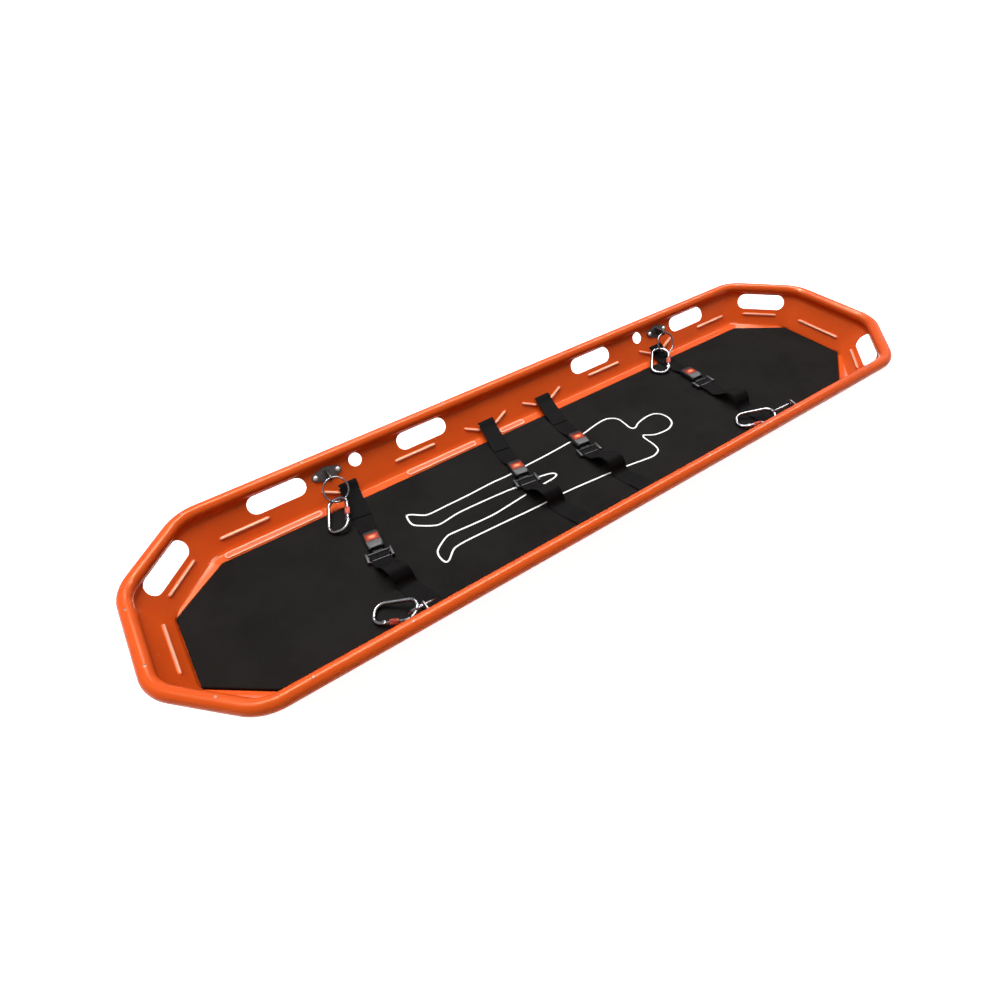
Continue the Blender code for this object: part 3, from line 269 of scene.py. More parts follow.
# Its lighter parts, worn steel and painted highlights along its edges: inset from its sides, the span from
# its end or start, and the heights they lie between
LIP_INSET = 0.012
LIP_SPAN = (0.0006, 0.0012)
LIP_RISE = (0.0041, 0.0002)
RAIL_INSET = 0.010
RAIL_SPAN = (0.0007, 0.0002)
RAIL_RISE = (0.0003, 0.0002)
CAP_WIDTH = 0.005
CAP_INSET = 0.0004
CAP_SPAN = (0.0004, 0.0046)
CAP_RISE = (0.0030, 0.0004)

# Lifting points
PLATE_THICKNESS = 0.003
PLATE_ENDS = 0.010
PLATE_MIDDLE = 0.019
# Width and thickness of the nut strip, radius and height of the bolt heads
NUT_STRIP = (0.014, 0.004)
BOLT_HEAD = (0.0065, 0.0045)
BOLT_RADIUS = 0.003
BOLT_END = 0.002
# The bolt's dome as shares of its head, above a washer
BOLT_DOME = ((0, 1), (0.4, 0.96), (0.7, 0.80), (0.86, 0.50))
WASHER = (0.0010, 0.0012)
LUG_THICKNESS = 0.004
LUG_ROOT = 0.012
LUG_REACH = 0.030
LUG_DROP = 0.009
LUG_RADIUS = 0.0085
LUG_HOLE = 0.0045
RING_WIRE = 0.0025
RING_RADIUS = 0.0315
CARABINER = (0.108, 0.060)
CARABINER_ROD = 0.0045
CARABINER_BEND = 0.022
GATE_Y = CARABINER[1] / 2 - CARABINER_ROD
NOSE_X = 0.028
NOSE_LENGTH = 0.005
PIN_X = 0.0710
PIN_RADIUS = 0.0013
FORK_RADIUS = 0.0048
FORK_SLOT = 0.0023
NECK = 0.0034
# Radius and half thickness of the tang in the gate's fork
TANG = (0.0038, 0.002)
TANG_ROOT = (0.002, 0.003)
NOSE_CHAMFER = 0.0006
ROD_CHAMFER = 0.0008
GATE_ROD = 0.004
GATE_GAP = 0.0004
# The gate's rod: distance from its tip, or from its pin, and radius
GATE_TIP = ((0.0, NECK), (0.0006, GATE_ROD), (0.0040, GATE_ROD), (0.0044, NECK), (0.0056, NECK),
            (0.0060, GATE_ROD))
GATE_FOOT = ((-0.004, GATE_ROD), (-0.0032, 0.0036))
SLEEVE_RADIUS = 0.0062
SLEEVE_LENGTH = 0.022
SLEEVE_X = NOSE_X + GATE_GAP + 0.008
SLEEVE_TEETH = 22
# The sleeve outside: distance along it, how far below its radius, and whether it is knurled there
SLEEVE_SECTION = ((0.0, 0.0007, 0), (0.0010, 0.0001, 0), (0.0022, 0.0001, 0), (0.0028, 0.0, 1),
                  (0.0192, 0.0, 1), (0.0198, 0.0001, 0), (0.0210, 0.0001, 0), (SLEEVE_LENGTH, 0.0007, 0))
KNURL_DEPTH = 0.0006

# Half the depth of a cutter that goes right through a plate, and how far others reach past a face
THROUGH = 0.01
PAST = 0.004

# Radii of the rounded edges
EDGE = {"pocket": 0.0008, "web_mouth": 0.0004, "tongue_mouth": 0.0003, "inlay": 0.0002, "button": 0.0011,
        "button_bar": 0.0004, "frame": 0.0012, "cheek": 0.0018, "blade": 0.0008, "window": 0.0008,
        "bar": 0.0005, "bar_seat": 0.0002, "lip": 0.0005, "rail": 0.0002, "cap": 0.0009, "keeper": 0.0006,
        "plate": 0.0008, "lug": 0.0009, "strip": 0.0008, "tang": 0.0004, "fork": 0.0006, "fork_slot": 0.0002}

# Stage: each strip by its place, length and share of power
FLOOR_HALF = 60.0
FLOOR_DROP = 0.0005
FLOOR_GLOW = 0.93
SOFTBOX = ((0.0, 0.55, 2.5), (5.0, 1.2))
SOFTBOX_SPREAD = radians(80)
STRIPS = ((0.9, 0.65, 4.4, 1.0), (0.1, 1.07, 2.8, 0.15), (0.15, 2.1, 1.6, 0.45))
STRIP_HEIGHT = 2.3
STRIP_WIDTH = 0.3


# Colours and materials

def linear(code):
    """A linear colour from an sRGB hex value."""
    channels = [int(code[place:place + 2], 16) / 255 for place in (0, 2, 4)]
    return [c / 12.92 if c <= 0.04045 else ((c + 0.055) / 1.055) ** 2.4 for c in channels]


def shaded(colour, share, lift=0.0):
    """A colour made darker or paler by a share, and lifted evenly."""
    return [channel * share + lift for channel in colour]


def per_mm(size):
    """Texture scale for a feature of a size in millimetres."""
    return 1000.0 / size


def fill(tree, socket, value):
    """Link a socket to an output, or set it; a colour gets full alpha."""
    if isinstance(value, bpy.types.NodeSocket):
        tree.links.new(value, socket)
    elif socket.type == "RGBA":
        socket.default_value = (*value[:3], 1.0)
    else:
        socket.default_value = value


def add_node(tree, kind, out=0, **given):
    """A new node's output. Words with a capital are its inputs, set or linked; the others are settings."""
    node = tree.nodes.new("ShaderNode" + kind)
    for key, value in given.items():
        if key[0].islower():
            setattr(node, key, value)
    sockets = {socket.identifier.replace(" ", "_"): socket for socket in node.inputs}
    for key, value in given.items():
        if key[0].isupper():
            fill(tree, sockets[key], value)
    return node.outputs[out]


def join(material, **given):
    """Set or link inputs of a material's shader."""
    tree = material.node_tree
    for key, value in given.items():
        fill(tree, tree.nodes["Principled BSDF"].inputs[key.replace("_", " ")], value)
    return material


def start_material(name, roughness, metallic=0.0, **constants):
    """A material with its shader's constants set, its node tree, and the object's coordinates."""
    material = bpy.data.materials.new(name)
    material.use_nodes = True
    join(material, Roughness=roughness, Metallic=metallic, **constants)
    return material, material.node_tree, add_node(material.node_tree, "TexCoord", "Object")


def clouds(tree, place, size, edges, reach=(0.0, 1.0), detail=3.0, rough=0.5):
    """Cloudy patches of a size in millimetres: noise between two edges, stretched to a reach."""
    cloud = add_node(tree, "TexNoise", Vector=place, Scale=per_mm(size), Detail=detail, Roughness=rough)
    return add_node(tree, "MapRange", Value=cloud, From_Min=edges[0], From_Max=edges[1],
                    To_Min=reach[0], To_Max=reach[1])


def grain(tree, place, size, detail, depth, strength, **under):
    """A surface grain of a size in millimetres and a depth, over another surface where one is given."""
    cloud = add_node(tree, "TexNoise", Vector=place, Scale=per_mm(size), Detail=detail)
    return add_node(tree, "Bump", Height=cloud, Distance=depth, Strength=strength, **under)


def layered(tree, ground, *coats):
    """A ground colour under coats, each with the share of it that shows."""
    for share, colour in coats:
        ground = add_node(tree, "Mix", 2, data_type="RGBA",
                          Factor_Float=share, A_Color=ground, B_Color=colour)
    return ground


def moulded_polyethylene(colour):
    """Thermoformed polyethylene sheet: a waxy gloss, faint waves of the sheet, fine scuffs, and painted
    highlights on the ridges of beads and pads.
    """
    material, tree, place = start_material("moulded_polyethylene", 0.26, IOR=1.5, Specular_IOR_Level=0.16,
                                           Specular_Tint=linear("ffe2b4"))
    deep = [channel * share for channel, share in zip(colour, (0.95, 0.90, 0.88))]
    pale = [channel + (1 - channel) * 0.22 for channel in colour]
    tone = clouds(tree, place, 140, (0.35, 0.65), detail=2.0)
    scuff = clouds(tree, place, 5, (0.68, 0.82), (0.0, 0.06), 6.0, 0.7)
    # Painted highlight: the ridges of beads and pads are painted pale, the higher the paler, where gloss
    # would catch the light
    raised = add_node(tree, "Attribute", "Fac", attribute_name="raised")
    worn = add_node(tree, "MapRange", Value=raised, From_Min=0.0012, From_Max=0.0042, To_Max=0.85)
    waves = grain(tree, place, 90, 1.0, 0.0005, 0.5)
    # The sheet's own texture is about 0.3 mm; it is drawn at 2 mm so that it shows
    return join(material,
                Base_Color=layered(tree, deep, (tone, colour), (scuff, pale), (worn, linear("f6b89c"))),
                Roughness=clouds(tree, place, 12, (0.3, 0.7), (0.18, 0.28), 5.0, 0.6),
                Normal=grain(tree, place, 2, 2.0, 0.00003, 0.5, Normal=waves))


def drawn_aluminium():
    """Drawn aluminium tube: pale grey, satin, with fine lines along its length."""
    material, tree, place = start_material("drawn_aluminium", 0.34, 1.0)
    lines = add_node(tree, "Mapping", Vector=place, Scale=(0.03, 1.0, 1.0))
    streak = add_node(tree, "TexNoise", Vector=lines, Scale=per_mm(1.2), Detail=4.0)
    satin = add_node(tree, "MapRange", Value=streak, From_Min=0.3, From_Max=0.7, To_Min=0.28, To_Max=0.42)
    return join(material, Base_Color=layered(tree, linear("b9bbbd"), (streak, linear("d6d7d8"))),
                Roughness=satin)


def coated_foam(colour):
    """Closed-cell foam with a coated face: dull black, a fine cell grain, and pale worn patches."""
    material, tree, place = start_material("coated_foam", 0.72, IOR=1.45, Specular_IOR_Level=0.01)
    cloud = clouds(tree, place, 160, (0.35, 0.70))
    rubbed = clouds(tree, place, 26, (0.58, 0.80), (0.0, 0.30), 6.0, 0.65)
    cells = add_node(tree, "TexVoronoi", "Distance", Vector=place, Scale=per_mm(1.6))
    dents = grain(tree, place, 40, 2.0, 0.0006, 0.5)
    return join(material,
                Base_Color=layered(tree, colour, (cloud, shaded(colour, 1.3, 0.001)),
                                   (rubbed, shaded(colour, 1.8))),
                Roughness=clouds(tree, place, 30, (0.3, 0.7), (0.62, 0.80), 4.0),
                Normal=add_node(tree, "Bump", Height=cells, Distance=0.00012, Strength=0.5, Normal=dents))


def screen_ink(colour, ground):
    """Screen-printed ink on the coated foam: matt white, thin where the foam's cells show through."""
    material, tree, place = start_material("screen_ink", 0.6, IOR=1.45)
    thin = clouds(tree, place, 3.0, (0.66, 0.84), (0.0, 0.45), 5.0, 0.7)
    return join(material, Base_Color=layered(tree, colour, (thin, ground)))


def woven_polyester(colour):
    """Woven polyester webbing: dull black with a soft sheen, cross ribs and long warp cords."""
    material, tree, place = start_material("woven_polyester", 0.62, IOR=1.5, Specular_IOR_Level=0.015)
    thread = add_node(tree, "UVMap", uv_map="thread")
    # Warp cords lie 1.1 mm apart and the weft beats 1.4 mm apart, as in 50 mm belt webbing
    warp, weft = [add_node(tree, "TexWave", "Fac", Vector=thread, Scale=per_mm(pitch) / 20 * pi,
                           bands_direction=across) for pitch, across in ((1.1, "X"), (1.4, "Y"))]
    weave = add_node(tree, "Math", Value=warp, Value_001=weft, operation="MULTIPLY")
    fuzz = clouds(tree, place, 9, (0.35, 0.7), (0.0, 0.5), 5.0, 0.65)
    return join(material,
                Base_Color=layered(tree, shaded(colour, 0.55), (weave, shaded(colour, 1.7, 0.001)),
                                   (fuzz, colour)),
                Normal=add_node(tree, "Bump", Height=weave, Distance=0.00025, Strength=0.7))


def acetal_case(colour):
    """Moulded acetal: near black, satin, with a spark-eroded grain and rubbed faces."""
    material, tree, place = start_material("acetal_case", 0.4, IOR=1.48, Specular_IOR_Level=0.12)
    rubbed = clouds(tree, place, 7, (0.5, 0.75), (0.0, 0.5), 5.0, 0.6)
    return join(material, Base_Color=layered(tree, colour, (rubbed, shaded(colour, 1.7, 0.01))),
                Roughness=clouds(tree, place, 4, (0.3, 0.7), (0.32, 0.5), 4.0),
                Normal=grain(tree, place, 0.5, 2.0, 0.00003, 0.6))


def grey_acetal(colour):
    """The buckle's grey face: the same moulding in grey, a little dusty."""
    material, tree, place = start_material("grey_acetal", 0.45, IOR=1.48, Specular_IOR_Level=0.12)
    dust = clouds(tree, place, 5, (0.4, 0.75), (0.0, 0.5), 5.0, 0.6)
    return join(material, Base_Color=layered(tree, colour, (dust, shaded(colour, 0.7))),
                Normal=grain(tree, place, 0.5, 2.0, 0.00003, 0.6))


def button_abs(colour):
    """Moulded red ABS: a glossy press face, with a painted highlight that makes its middle paler."""
    material, tree, place = start_material("button_abs", 0.3, IOR=1.53, Specular_IOR_Level=0.08)
    squeezed = add_node(tree, "Mapping", Vector=place, Scale=(95, 160, 160))
    away = add_node(tree, "VectorMath", "Value", Vector=squeezed, operation="LENGTH")
    # Painted highlight: the face is painted paler towards its middle
    middle = add_node(tree, "MapRange", Value=away, From_Min=0.35, From_Max=1.05, To_Min=1.0, To_Max=0.0)
    tone = clouds(tree, place, 3, (0.35, 0.65), detail=4.0)
    return join(material, Base_Color=layered(tree, shaded(colour, 0.55), (tone, colour),
                                             (middle, linear("ff9a68"))))


def black_lacquer(colour):
    """Black stoved lacquer on steel: glossy, worn to bright steel along the edges."""
    material, tree, place = start_material("black_lacquer", 0.3, IOR=1.5, Specular_IOR_Level=0.25)
    edge = add_node(tree, "NewGeometry", "Pointiness")
    edge = add_node(tree, "MapRange", Value=edge, From_Min=0.54, From_Max=0.66)
    chips = add_node(tree, "TexNoise", Vector=place, Scale=per_mm(1.5), Detail=5.0)
    chips = add_node(tree, "Math", Value=edge, Value_001=chips, operation="MULTIPLY")
    worn = add_node(tree, "MapRange", Value=chips, From_Min=0.28, From_Max=0.45)
    return join(material, Base_Color=layered(tree, colour, (worn, linear("9a9a9c"))), Metallic=worn,
                Roughness=clouds(tree, place, 6, (0.3, 0.7), (0.24, 0.42), 4.0))


def zinc_plate(name, pale, deep, rough=0.42):
    """Zinc-plated steel: grey, mottled, with a dull shine."""
    material, tree, place = start_material(name, rough, 1.0)
    mottle = clouds(tree, place, 3.0, (0.35, 0.65), detail=5.0, rough=0.6)
    return join(material, Base_Color=layered(tree, deep, (mottle, pale)),
                Roughness=clouds(tree, place, 5.0, (0.3, 0.7), (rough - 0.1, rough + 0.1), 4.0),
                Normal=grain(tree, place, 0.8, 3.0, 0.00003, 0.6))


def phosphated_steel():
    """Phosphated steel rod: nearly black, matt, with a fine crystal grain."""
    material, tree, place = start_material("phosphated_steel", 0.6, 0.3, Specular_IOR_Level=0.1)
    crystals = clouds(tree, place, 1.2, (0.35, 0.65), detail=4.0)
    return join(material, Base_Color=layered(tree, linear("161515"), (crystals, linear("272524"))),
                Normal=grain(tree, place, 0.6, 3.0, 0.00003, 0.6))


def polished_steel():
    """Polished stainless steel: a dark base colour that paints in the dark surroundings it mirrors, paler and
    duller in the haze of fine handling scratches.
    """
    material, tree, place = start_material("polished_steel", 0.14, 1.0)
    haze = add_node(tree, "TexNoise", Vector=place, Scale=per_mm(4.0), Detail=6.0, Roughness=0.65)
    hazy = add_node(tree, "MapRange", Value=haze, From_Min=0.35, From_Max=0.7, To_Min=0.08, To_Max=0.26)
    scratch = add_node(tree, "Mapping", Vector=place, Scale=(0.15, 1.0, 1.0))
    # Painted reflection: the base colour is kept dark in place of the dark surroundings that the steel
    # mirrors
    return join(material, Base_Color=layered(tree, linear("4e4e51"), (haze, linear("77777a"))),
                Roughness=hazy, Normal=grain(tree, scratch, 0.6, 3.0, 0.00002, 0.5))


def anodised_sleeve(colour):
    """Red anodised aluminium: a satin metallic red, paler where the knurl is rubbed."""
    material, tree, place = start_material("anodised_sleeve", 0.42, 0.3, Specular_IOR_Level=0.2)
    rubbed = clouds(tree, place, 2.0, (0.45, 0.7), (0.0, 0.5), 5.0)
    return join(material, Base_Color=layered(tree, colour, (rubbed, linear("a8503c"))))


# Mesh helpers

def as_mesh(name, shape):
    """A mesh from a bmesh, which is freed; a mesh stays as it is."""
    if isinstance(shape, bpy.types.Mesh):
        return shape
    mesh = bpy.data.meshes.new(name)
    shape.to_mesh(mesh)
    shape.free()
    return mesh


def link_new(name, data):
    """A new object in the scene."""
    made = bpy.data.objects.new(name, data)
    bpy.context.scene.collection.objects.link(made)
    return made


def evaluated(holder):
    """An object with its modifiers worked out."""
    bpy.context.view_layer.update()
    return holder.evaluated_get(bpy.context.evaluated_depsgraph_get())


def add_piece(name, shape, material, body, sharp, nodes=(), place=None):
    """A finished piece: its mesh in its place, its material and body, and the nodes it stands for."""
    mesh = as_mesh(name, shape)
    if place is not None:
        mesh.transform(place)
    piece = link_new(name, mesh)
    mesh.materials.append(material)
    mesh.shade_smooth()
    mesh.set_sharp_from_angle(angle=radians(sharp))
    if body:
        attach(piece, body)
    if nodes:
        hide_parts(*nodes)
    return piece


def shift(x=0.0, y=0.0, z=0.0):
    """Matrix of a move."""
    return Matrix.Translation((x, y, z))


def circle(radius, centre=(0.0, 0.0), steps=32, start=0.0, turn=2 * pi):
    """Points on a circle, or on a part of one."""
    count = steps if turn == 2 * pi else steps + 1
    angles = [start + turn * step / steps for step in range(count)]
    return [(centre[0] + radius * cos(a), centre[1] + radius * sin(a)) for a in angles]


def stadium(length, height, steps=18):
    """Outline of a slot with round ends, lying along x."""
    reach = (length - height) / 2
    right = circle(height / 2, (reach, 0), steps, -pi / 2, pi)
    return right + circle(height / 2, (-reach, 0), steps, pi / 2, pi)


def hull(points):
    """Outline round a set of points, as a tight band would lie."""
    ordered = sorted(set((round(x, 7), round(y, 7)) for x, y in points))

    def side(row):
        chain = []
        for point in row:
            while len(chain) > 1 and turn_of(chain[-2], chain[-1], point) <= 0:
                chain.pop()
            chain.append(point)
        return chain[:-1]

    return side(ordered) + side(reversed(ordered))


def turn_of(first, second, third):
    """Twice the signed area of a triangle."""
    run = (second[0] - first[0]) * (third[1] - first[1])
    return run - (second[1] - first[1]) * (third[0] - first[0])


def loft(rings, closed=False, caps=True):
    """A skin through rings of points with like counts, each ring closed."""
    shape = bmesh.new()
    rows = [[shape.verts.new(point) for point in ring] for ring in rings]
    pairs = list(zip(rows, rows[1:]))
    if closed:
        pairs.append((rows[-1], rows[0]))
    for low, high in pairs:
        for index in range(len(low)):
            after = (index + 1) % len(low)
            shape.faces.new((low[index], low[after], high[after], high[index]))
    if caps and not closed:
        shape.faces.new(list(reversed(rows[0])))
        shape.faces.new(rows[-1])
    bmesh.ops.recalc_face_normals(shape, faces=shape.faces)
    return shape


def plate(outline, low, high, bevel=0.0, steps=2):
    """A flat plate with a closed outline, its rims rounded."""
    shape = loft([[(x, y, z) for x, y in outline] for z in (low, high)])
    if bevel:
        rims = [edge for edge in shape.edges if abs(edge.verts[0].co.z - edge.verts[1].co.z) < 1e-7]
        bmesh.ops.bevel(shape, geom=rims, offset=bevel, segments=steps, affect="EDGES", profile=0.5,
                        clamp_overlap=True)
    return shape


def turned(profile, steps=28):
    """A turned solid about z from (radius, height) pairs that start and end on the axis."""
    rings = [[(radius * cos(a), radius * sin(a), height) for a in (2 * pi * k / steps for k in range(steps))]
             for radius, height in profile]
    shape = loft(rings)
    bmesh.ops.remove_doubles(shape, verts=shape.verts, dist=1e-7)
    return shape


def rounded_block(low, high, radius, steps=3):
    """A block between two corners with rounded edges."""
    shape = bmesh.new()
    bmesh.ops.create_cube(shape, size=1.0)
    bmesh.ops.scale(shape, vec=Vector(high) - Vector(low), verts=shape.verts)
    bmesh.ops.translate(shape, vec=(Vector(low) + Vector(high)) / 2, verts=shape.verts)
    bmesh.ops.bevel(shape, geom=shape.edges, offset=radius, segments=steps, affect="EDGES", profile=0.5)
    return shape


def rod_along(points, radii, sides=20, closed=False):
    """A round rod along a path, with its own radius at each point and rounded ends."""
    path = [Vector(point) for point in points]
    count = len(path)
    side = None
    rings = []
    for index, point in enumerate(path):
        back = path[index - 1] if closed or index else path[index]
        ahead = path[(index + 1) % count] if closed or index + 1 < count else path[index]
        along = (ahead - back).normalized()
        if side is None:
            side = along.orthogonal().normalized()
        side = (side - along * side.dot(along)).normalized()
        other = along.cross(side)
        radius = radii[index] if isinstance(radii, (list, tuple)) else radii
        rings.append([point + (side * cos(a) + other * sin(a)) * radius
                      for a in (2 * pi * k / sides for k in range(sides))])
    return loft(rings, closed)


def rod_between(start, end, radius, sides=24, bevel=0.0008):
    """A straight rod with chamfered ends."""
    run = (Vector(end) - Vector(start)).normalized() * bevel
    points = [start, Vector(start) + run, Vector(end) - run, end]
    small = radius - bevel
    return rod_along(points, [small, radius, radius, small], sides)


def merge(shapes):
    """One bmesh from several, which are freed; each may come with its matrix."""
    whole = bmesh.new()
    for item in shapes:
        shape, matrix = item if isinstance(item, tuple) else (item, None)
        if matrix is not None:
            bmesh.ops.transform(shape, matrix=matrix, verts=shape.verts)
        part = as_mesh("part", shape)
        whole.from_mesh(part)
        bpy.data.meshes.remove(part)
    return whole


def carved(name, shape, *steps):
    """The mesh that a row of Boolean steps leaves, each step an operation and a bmesh."""
    holder = link_new(name + "_blank", as_mesh(name, shape))
    tools = []
    for operation, tool in steps:
        tools.append(link_new(name + "_tool", as_mesh(name + "_tool", tool)))
        modifier = holder.modifiers.new(operation, "BOOLEAN")
        modifier.operation = operation
        modifier.solver = "EXACT"
        modifier.object = tools[-1]
    mesh = bpy.data.meshes.new_from_object(evaluated(holder))
    for item in tools + [holder]:
        bpy.data.objects.remove(item, do_unlink=True)
    return mesh


def weigh_normals(piece):
    """Let the large faces set the shading, as on a moulding with flat walls."""
    modifier = piece.modifiers.new("weigh", "WEIGHTED_NORMAL")
    modifier.keep_sharp = True
    modifier.weight = 60


def axes_matrix(x_axis, y_axis, z_axis, origin):
    """Matrix of a frame from its three axes and its origin."""
    rotation = Matrix((x_axis, y_axis, z_axis)).transposed()
    return Matrix.Translation(origin) @ rotation.to_4x4()


# Plans of the shell

def cut_plan(end_x, side_y, cut):
    """A plan of eight sides: end x, side y, half width of the end, half length of the side."""
    return (end_x, side_y, side_y - cut[1], end_x - cut[0])


RIM_PLAN = cut_plan(LENGTH / 2 - ROLL_RADIUS, WIDTH / 2 - ROLL_RADIUS, RIM_CUT)
CREASE_PLAN = cut_plan(RIM_PLAN[0] - CREASE_INSET[0], RIM_PLAN[1] - CREASE_INSET[1], CREASE_CUT)
MAT_PLAN = cut_plan(CREASE_PLAN[0] - MAT_INSET[0], CREASE_PLAN[1] - MAT_INSET[1], MAT_CUT)
HEAD_END, CORNER_1, BACK, CORNER_2, FOOT_END, CORNER_3, FRONT, CORNER_4 = range(8)


def grown(plan, distance):
    """The plan whose sides all lie further out by a distance."""
    end_x, side_y, end_half, side_half = plan
    normal = Vector((side_y - end_half, end_x - side_half)).normalized()
    reach = normal.dot(Vector((end_x, end_half))) + distance
    new_end = end_x + distance
    new_side = side_y + distance
    return (new_end, new_side, (reach - normal.x * new_end) / normal.y,
            (reach - normal.y * new_side) / normal.x)


def corners(plan):
    """The eight corners, anticlockwise from the head end's near corner."""
    end_x, side_y, end_half, side_half = plan
    quarter = [(end_x, end_half), (side_half, side_y)]
    far = quarter + [(-x, y) for x, y in reversed(quarter)]
    near = [(x, -y) for x, y in reversed(far)]
    return [Vector(near[-1])] + [Vector(point) for point in far + near[:-1]]


def rounded(plan, bend, steps=CORNER_STEPS):
    """Points round the plan, each corner an arc of the bend radius."""
    places = corners(plan)
    points = []
    for index, corner in enumerate(places):
        back = (places[index - 1] - corner).normalized()
        ahead = (places[(index + 1) % 8] - corner).normalized()
        half = back.angle(ahead) / 2
        centre = corner + (back + ahead).normalized() * bend / sin(half)
        spoke = corner + back * bend / tan(half) - centre
        for step in range(steps + 1):
            angle = (pi - 2 * half) * step / steps
            points.append((centre.x + spoke.x * cos(angle) - spoke.y * sin(angle),
                           centre.y + spoke.x * sin(angle) + spoke.y * cos(angle)))
    return points


def between(first, second, share):
    """A station part of the way from one to another."""
    return tuple(a + (b - a) * share for a, b in zip(first, second))


def rim_station(angle):
    """A station on the roll round the rim tube."""
    out = ROLL_RADIUS * cos(angle)
    return (*grown(RIM_PLAN, out), RIM_BEND + out, RIM_Z + ROLL_RADIUS * sin(angle))


CREASE_STATION = (*CREASE_PLAN, CREASE_BEND, CREASE_Z)
WALL_TOP_STATION = rim_station(ROLL_START)


def bent(first, corner, last, steps):
    """Stations on the curve that rounds a corner, from the first and short of the last."""
    shares = [step / steps for step in range(steps)]
    return [between(between(first, corner, share), between(corner, last, share), share) for share in shares]


def skin_stations():
    """Stations of the visible skin, from the floor's edge over the wall and round the roll."""
    floor_edge = (*grown(MAT_PLAN, MAT_MARGIN), MAT_BEND, FLOOR_TOP)
    band_edge = (*grown(MAT_PLAN, MAT_MARGIN + BAND_STEP), MAT_BEND, BAND_Z)
    before = between(CREASE_STATION, band_edge, CREASE_SOFTEN * 2)
    after = between(CREASE_STATION, WALL_TOP_STATION, CREASE_SOFTEN)
    low = between(after, WALL_TOP_STATION, JUNCTION_SHARE)
    high = rim_station(JUNCTION_END)
    stations = [floor_edge, between(band_edge, floor_edge, BAND_LIP[0]),
                between(band_edge, before, BAND_LIP[1])]
    stations += bent(before, CREASE_STATION, after, CREASE_STEPS) + [after]
    stations += bent(low, WALL_TOP_STATION, high, JUNCTION_STEPS)
    for step in range(ROLL_STEPS + 1):
        stations.append(rim_station(JUNCTION_END + (ROLL_END - JUNCTION_END) * step / ROLL_STEPS))
    return stations


def panel(index):
    """Frame of one wall: x along it, y up its slope, z out of it into the basket."""
    low, high = [[corner.to_3d() + Vector((0, 0, z)) for corner in corners(plan)]
                 for plan, z in ((CREASE_PLAN, CREASE_Z), (WALL_TOP_STATION[:4], WALL_TOP_STATION[5]))]
    second = (index + 1) % 8
    foot = (low[index] + low[second]) / 2
    along = (low[index] - low[second]).normalized()
    slope = (high[index] + high[second]) / 2 - foot
    slope = (slope - along * slope.dot(along)).normalized()
    return axes_matrix(along, slope, along.cross(slope), foot)


# Shell

BAND_INNER = grown(MAT_PLAN, MAT_MARGIN + BAND_STEP)[1]
BAND_MIDDLE = (BAND_INNER + CREASE_PLAN[1]) / 2
BAND_MIDDLE_Z = (BAND_Z + CREASE_Z) / 2
BAND_TILT = (CREASE_Z - BAND_Z) / (CREASE_PLAN[1] - BAND_INNER)


def shell_skin():
    """The skin with its thickness, lofted through its stations."""
    rings = [[(x, y, station[5]) for x, y in rounded(station[:4], station[4])] for station in skin_stations()]
    skin = loft(rings, caps=False)
    floor = skin.faces.new(list(skin.verts)[:len(rings[0])])
    bmesh.ops.recalc_face_normals(skin, faces=skin.faces)
    if floor.normal.z < 0:
        bmesh.ops.reverse_faces(skin, faces=skin.faces)
    holder = link_new("skin", as_mesh("skin", skin))
    thicken = holder.modifiers.new("sheet", "SOLIDIFY")
    thicken.thickness = SHEET
    thicken.offset = -1
    thicken.use_even_offset = True
    shape = bmesh.new()
    shape.from_mesh(evaluated(holder).to_mesh())
    bpy.data.objects.remove(holder, do_unlink=True)
    return shape


def runners(inset, low, high, soft):
    """Both runners, or the troughs inside them: tapered bars, narrower at the foot."""
    bars = []
    for side in (-1, 1):
        shape = bmesh.new()
        bmesh.ops.create_cube(shape, size=1.0)
        for corner in shape.verts:
            taper = 0.0 if corner.co.z > 0 else RUNNER_TAPER
            corner.co.x *= RUNNER_LENGTH - 2 * inset - 2 * taper
            corner.co.y *= RUNNER_WIDTH - 2 * inset - taper
            corner.co.z = high if corner.co.z > 0 else low
        upright = [edge for edge in shape.edges if abs(edge.verts[0].co.z - edge.verts[1].co.z) > 0.001]
        bmesh.ops.bevel(shape, geom=upright, offset=RUNNER_TAPER, segments=6, affect="EDGES", profile=0.5)
        foot = [edge for edge in shape.edges if max(vertex.co.z for vertex in edge.verts) < low + 1e-6]
        bmesh.ops.bevel(shape, geom=foot, offset=soft, segments=3, affect="EDGES", profile=0.5)
        bars.append((shape, shift(0, side * RUNNER_Y)))
    return merge(bars)


def bead(length, bow=0.0):
    """A raised bead along x: a broad upper face, a round ridge, and a short steep side below it."""
    ends = [-cos(pi / 2 * step / BEAD_END_STEPS) for step in range(BEAD_END_STEPS)]
    spots = [(-length / 2 + BEAD_END * (1 + end), sqrt(max(0.02, 1 - end * end))) for end in ends]
    spots += [(-x, size) for x, size in reversed(spots)]
    rings = []
    for x, size in spots:
        bend = bow * (1 - (2 * x / length) ** 2)
        rings.append([(x, y / 1000 * size + bend, z / 1000 * (size if z > 0 else 1))
                      for y, z in BEAD_SECTION])
    return loft(rings)


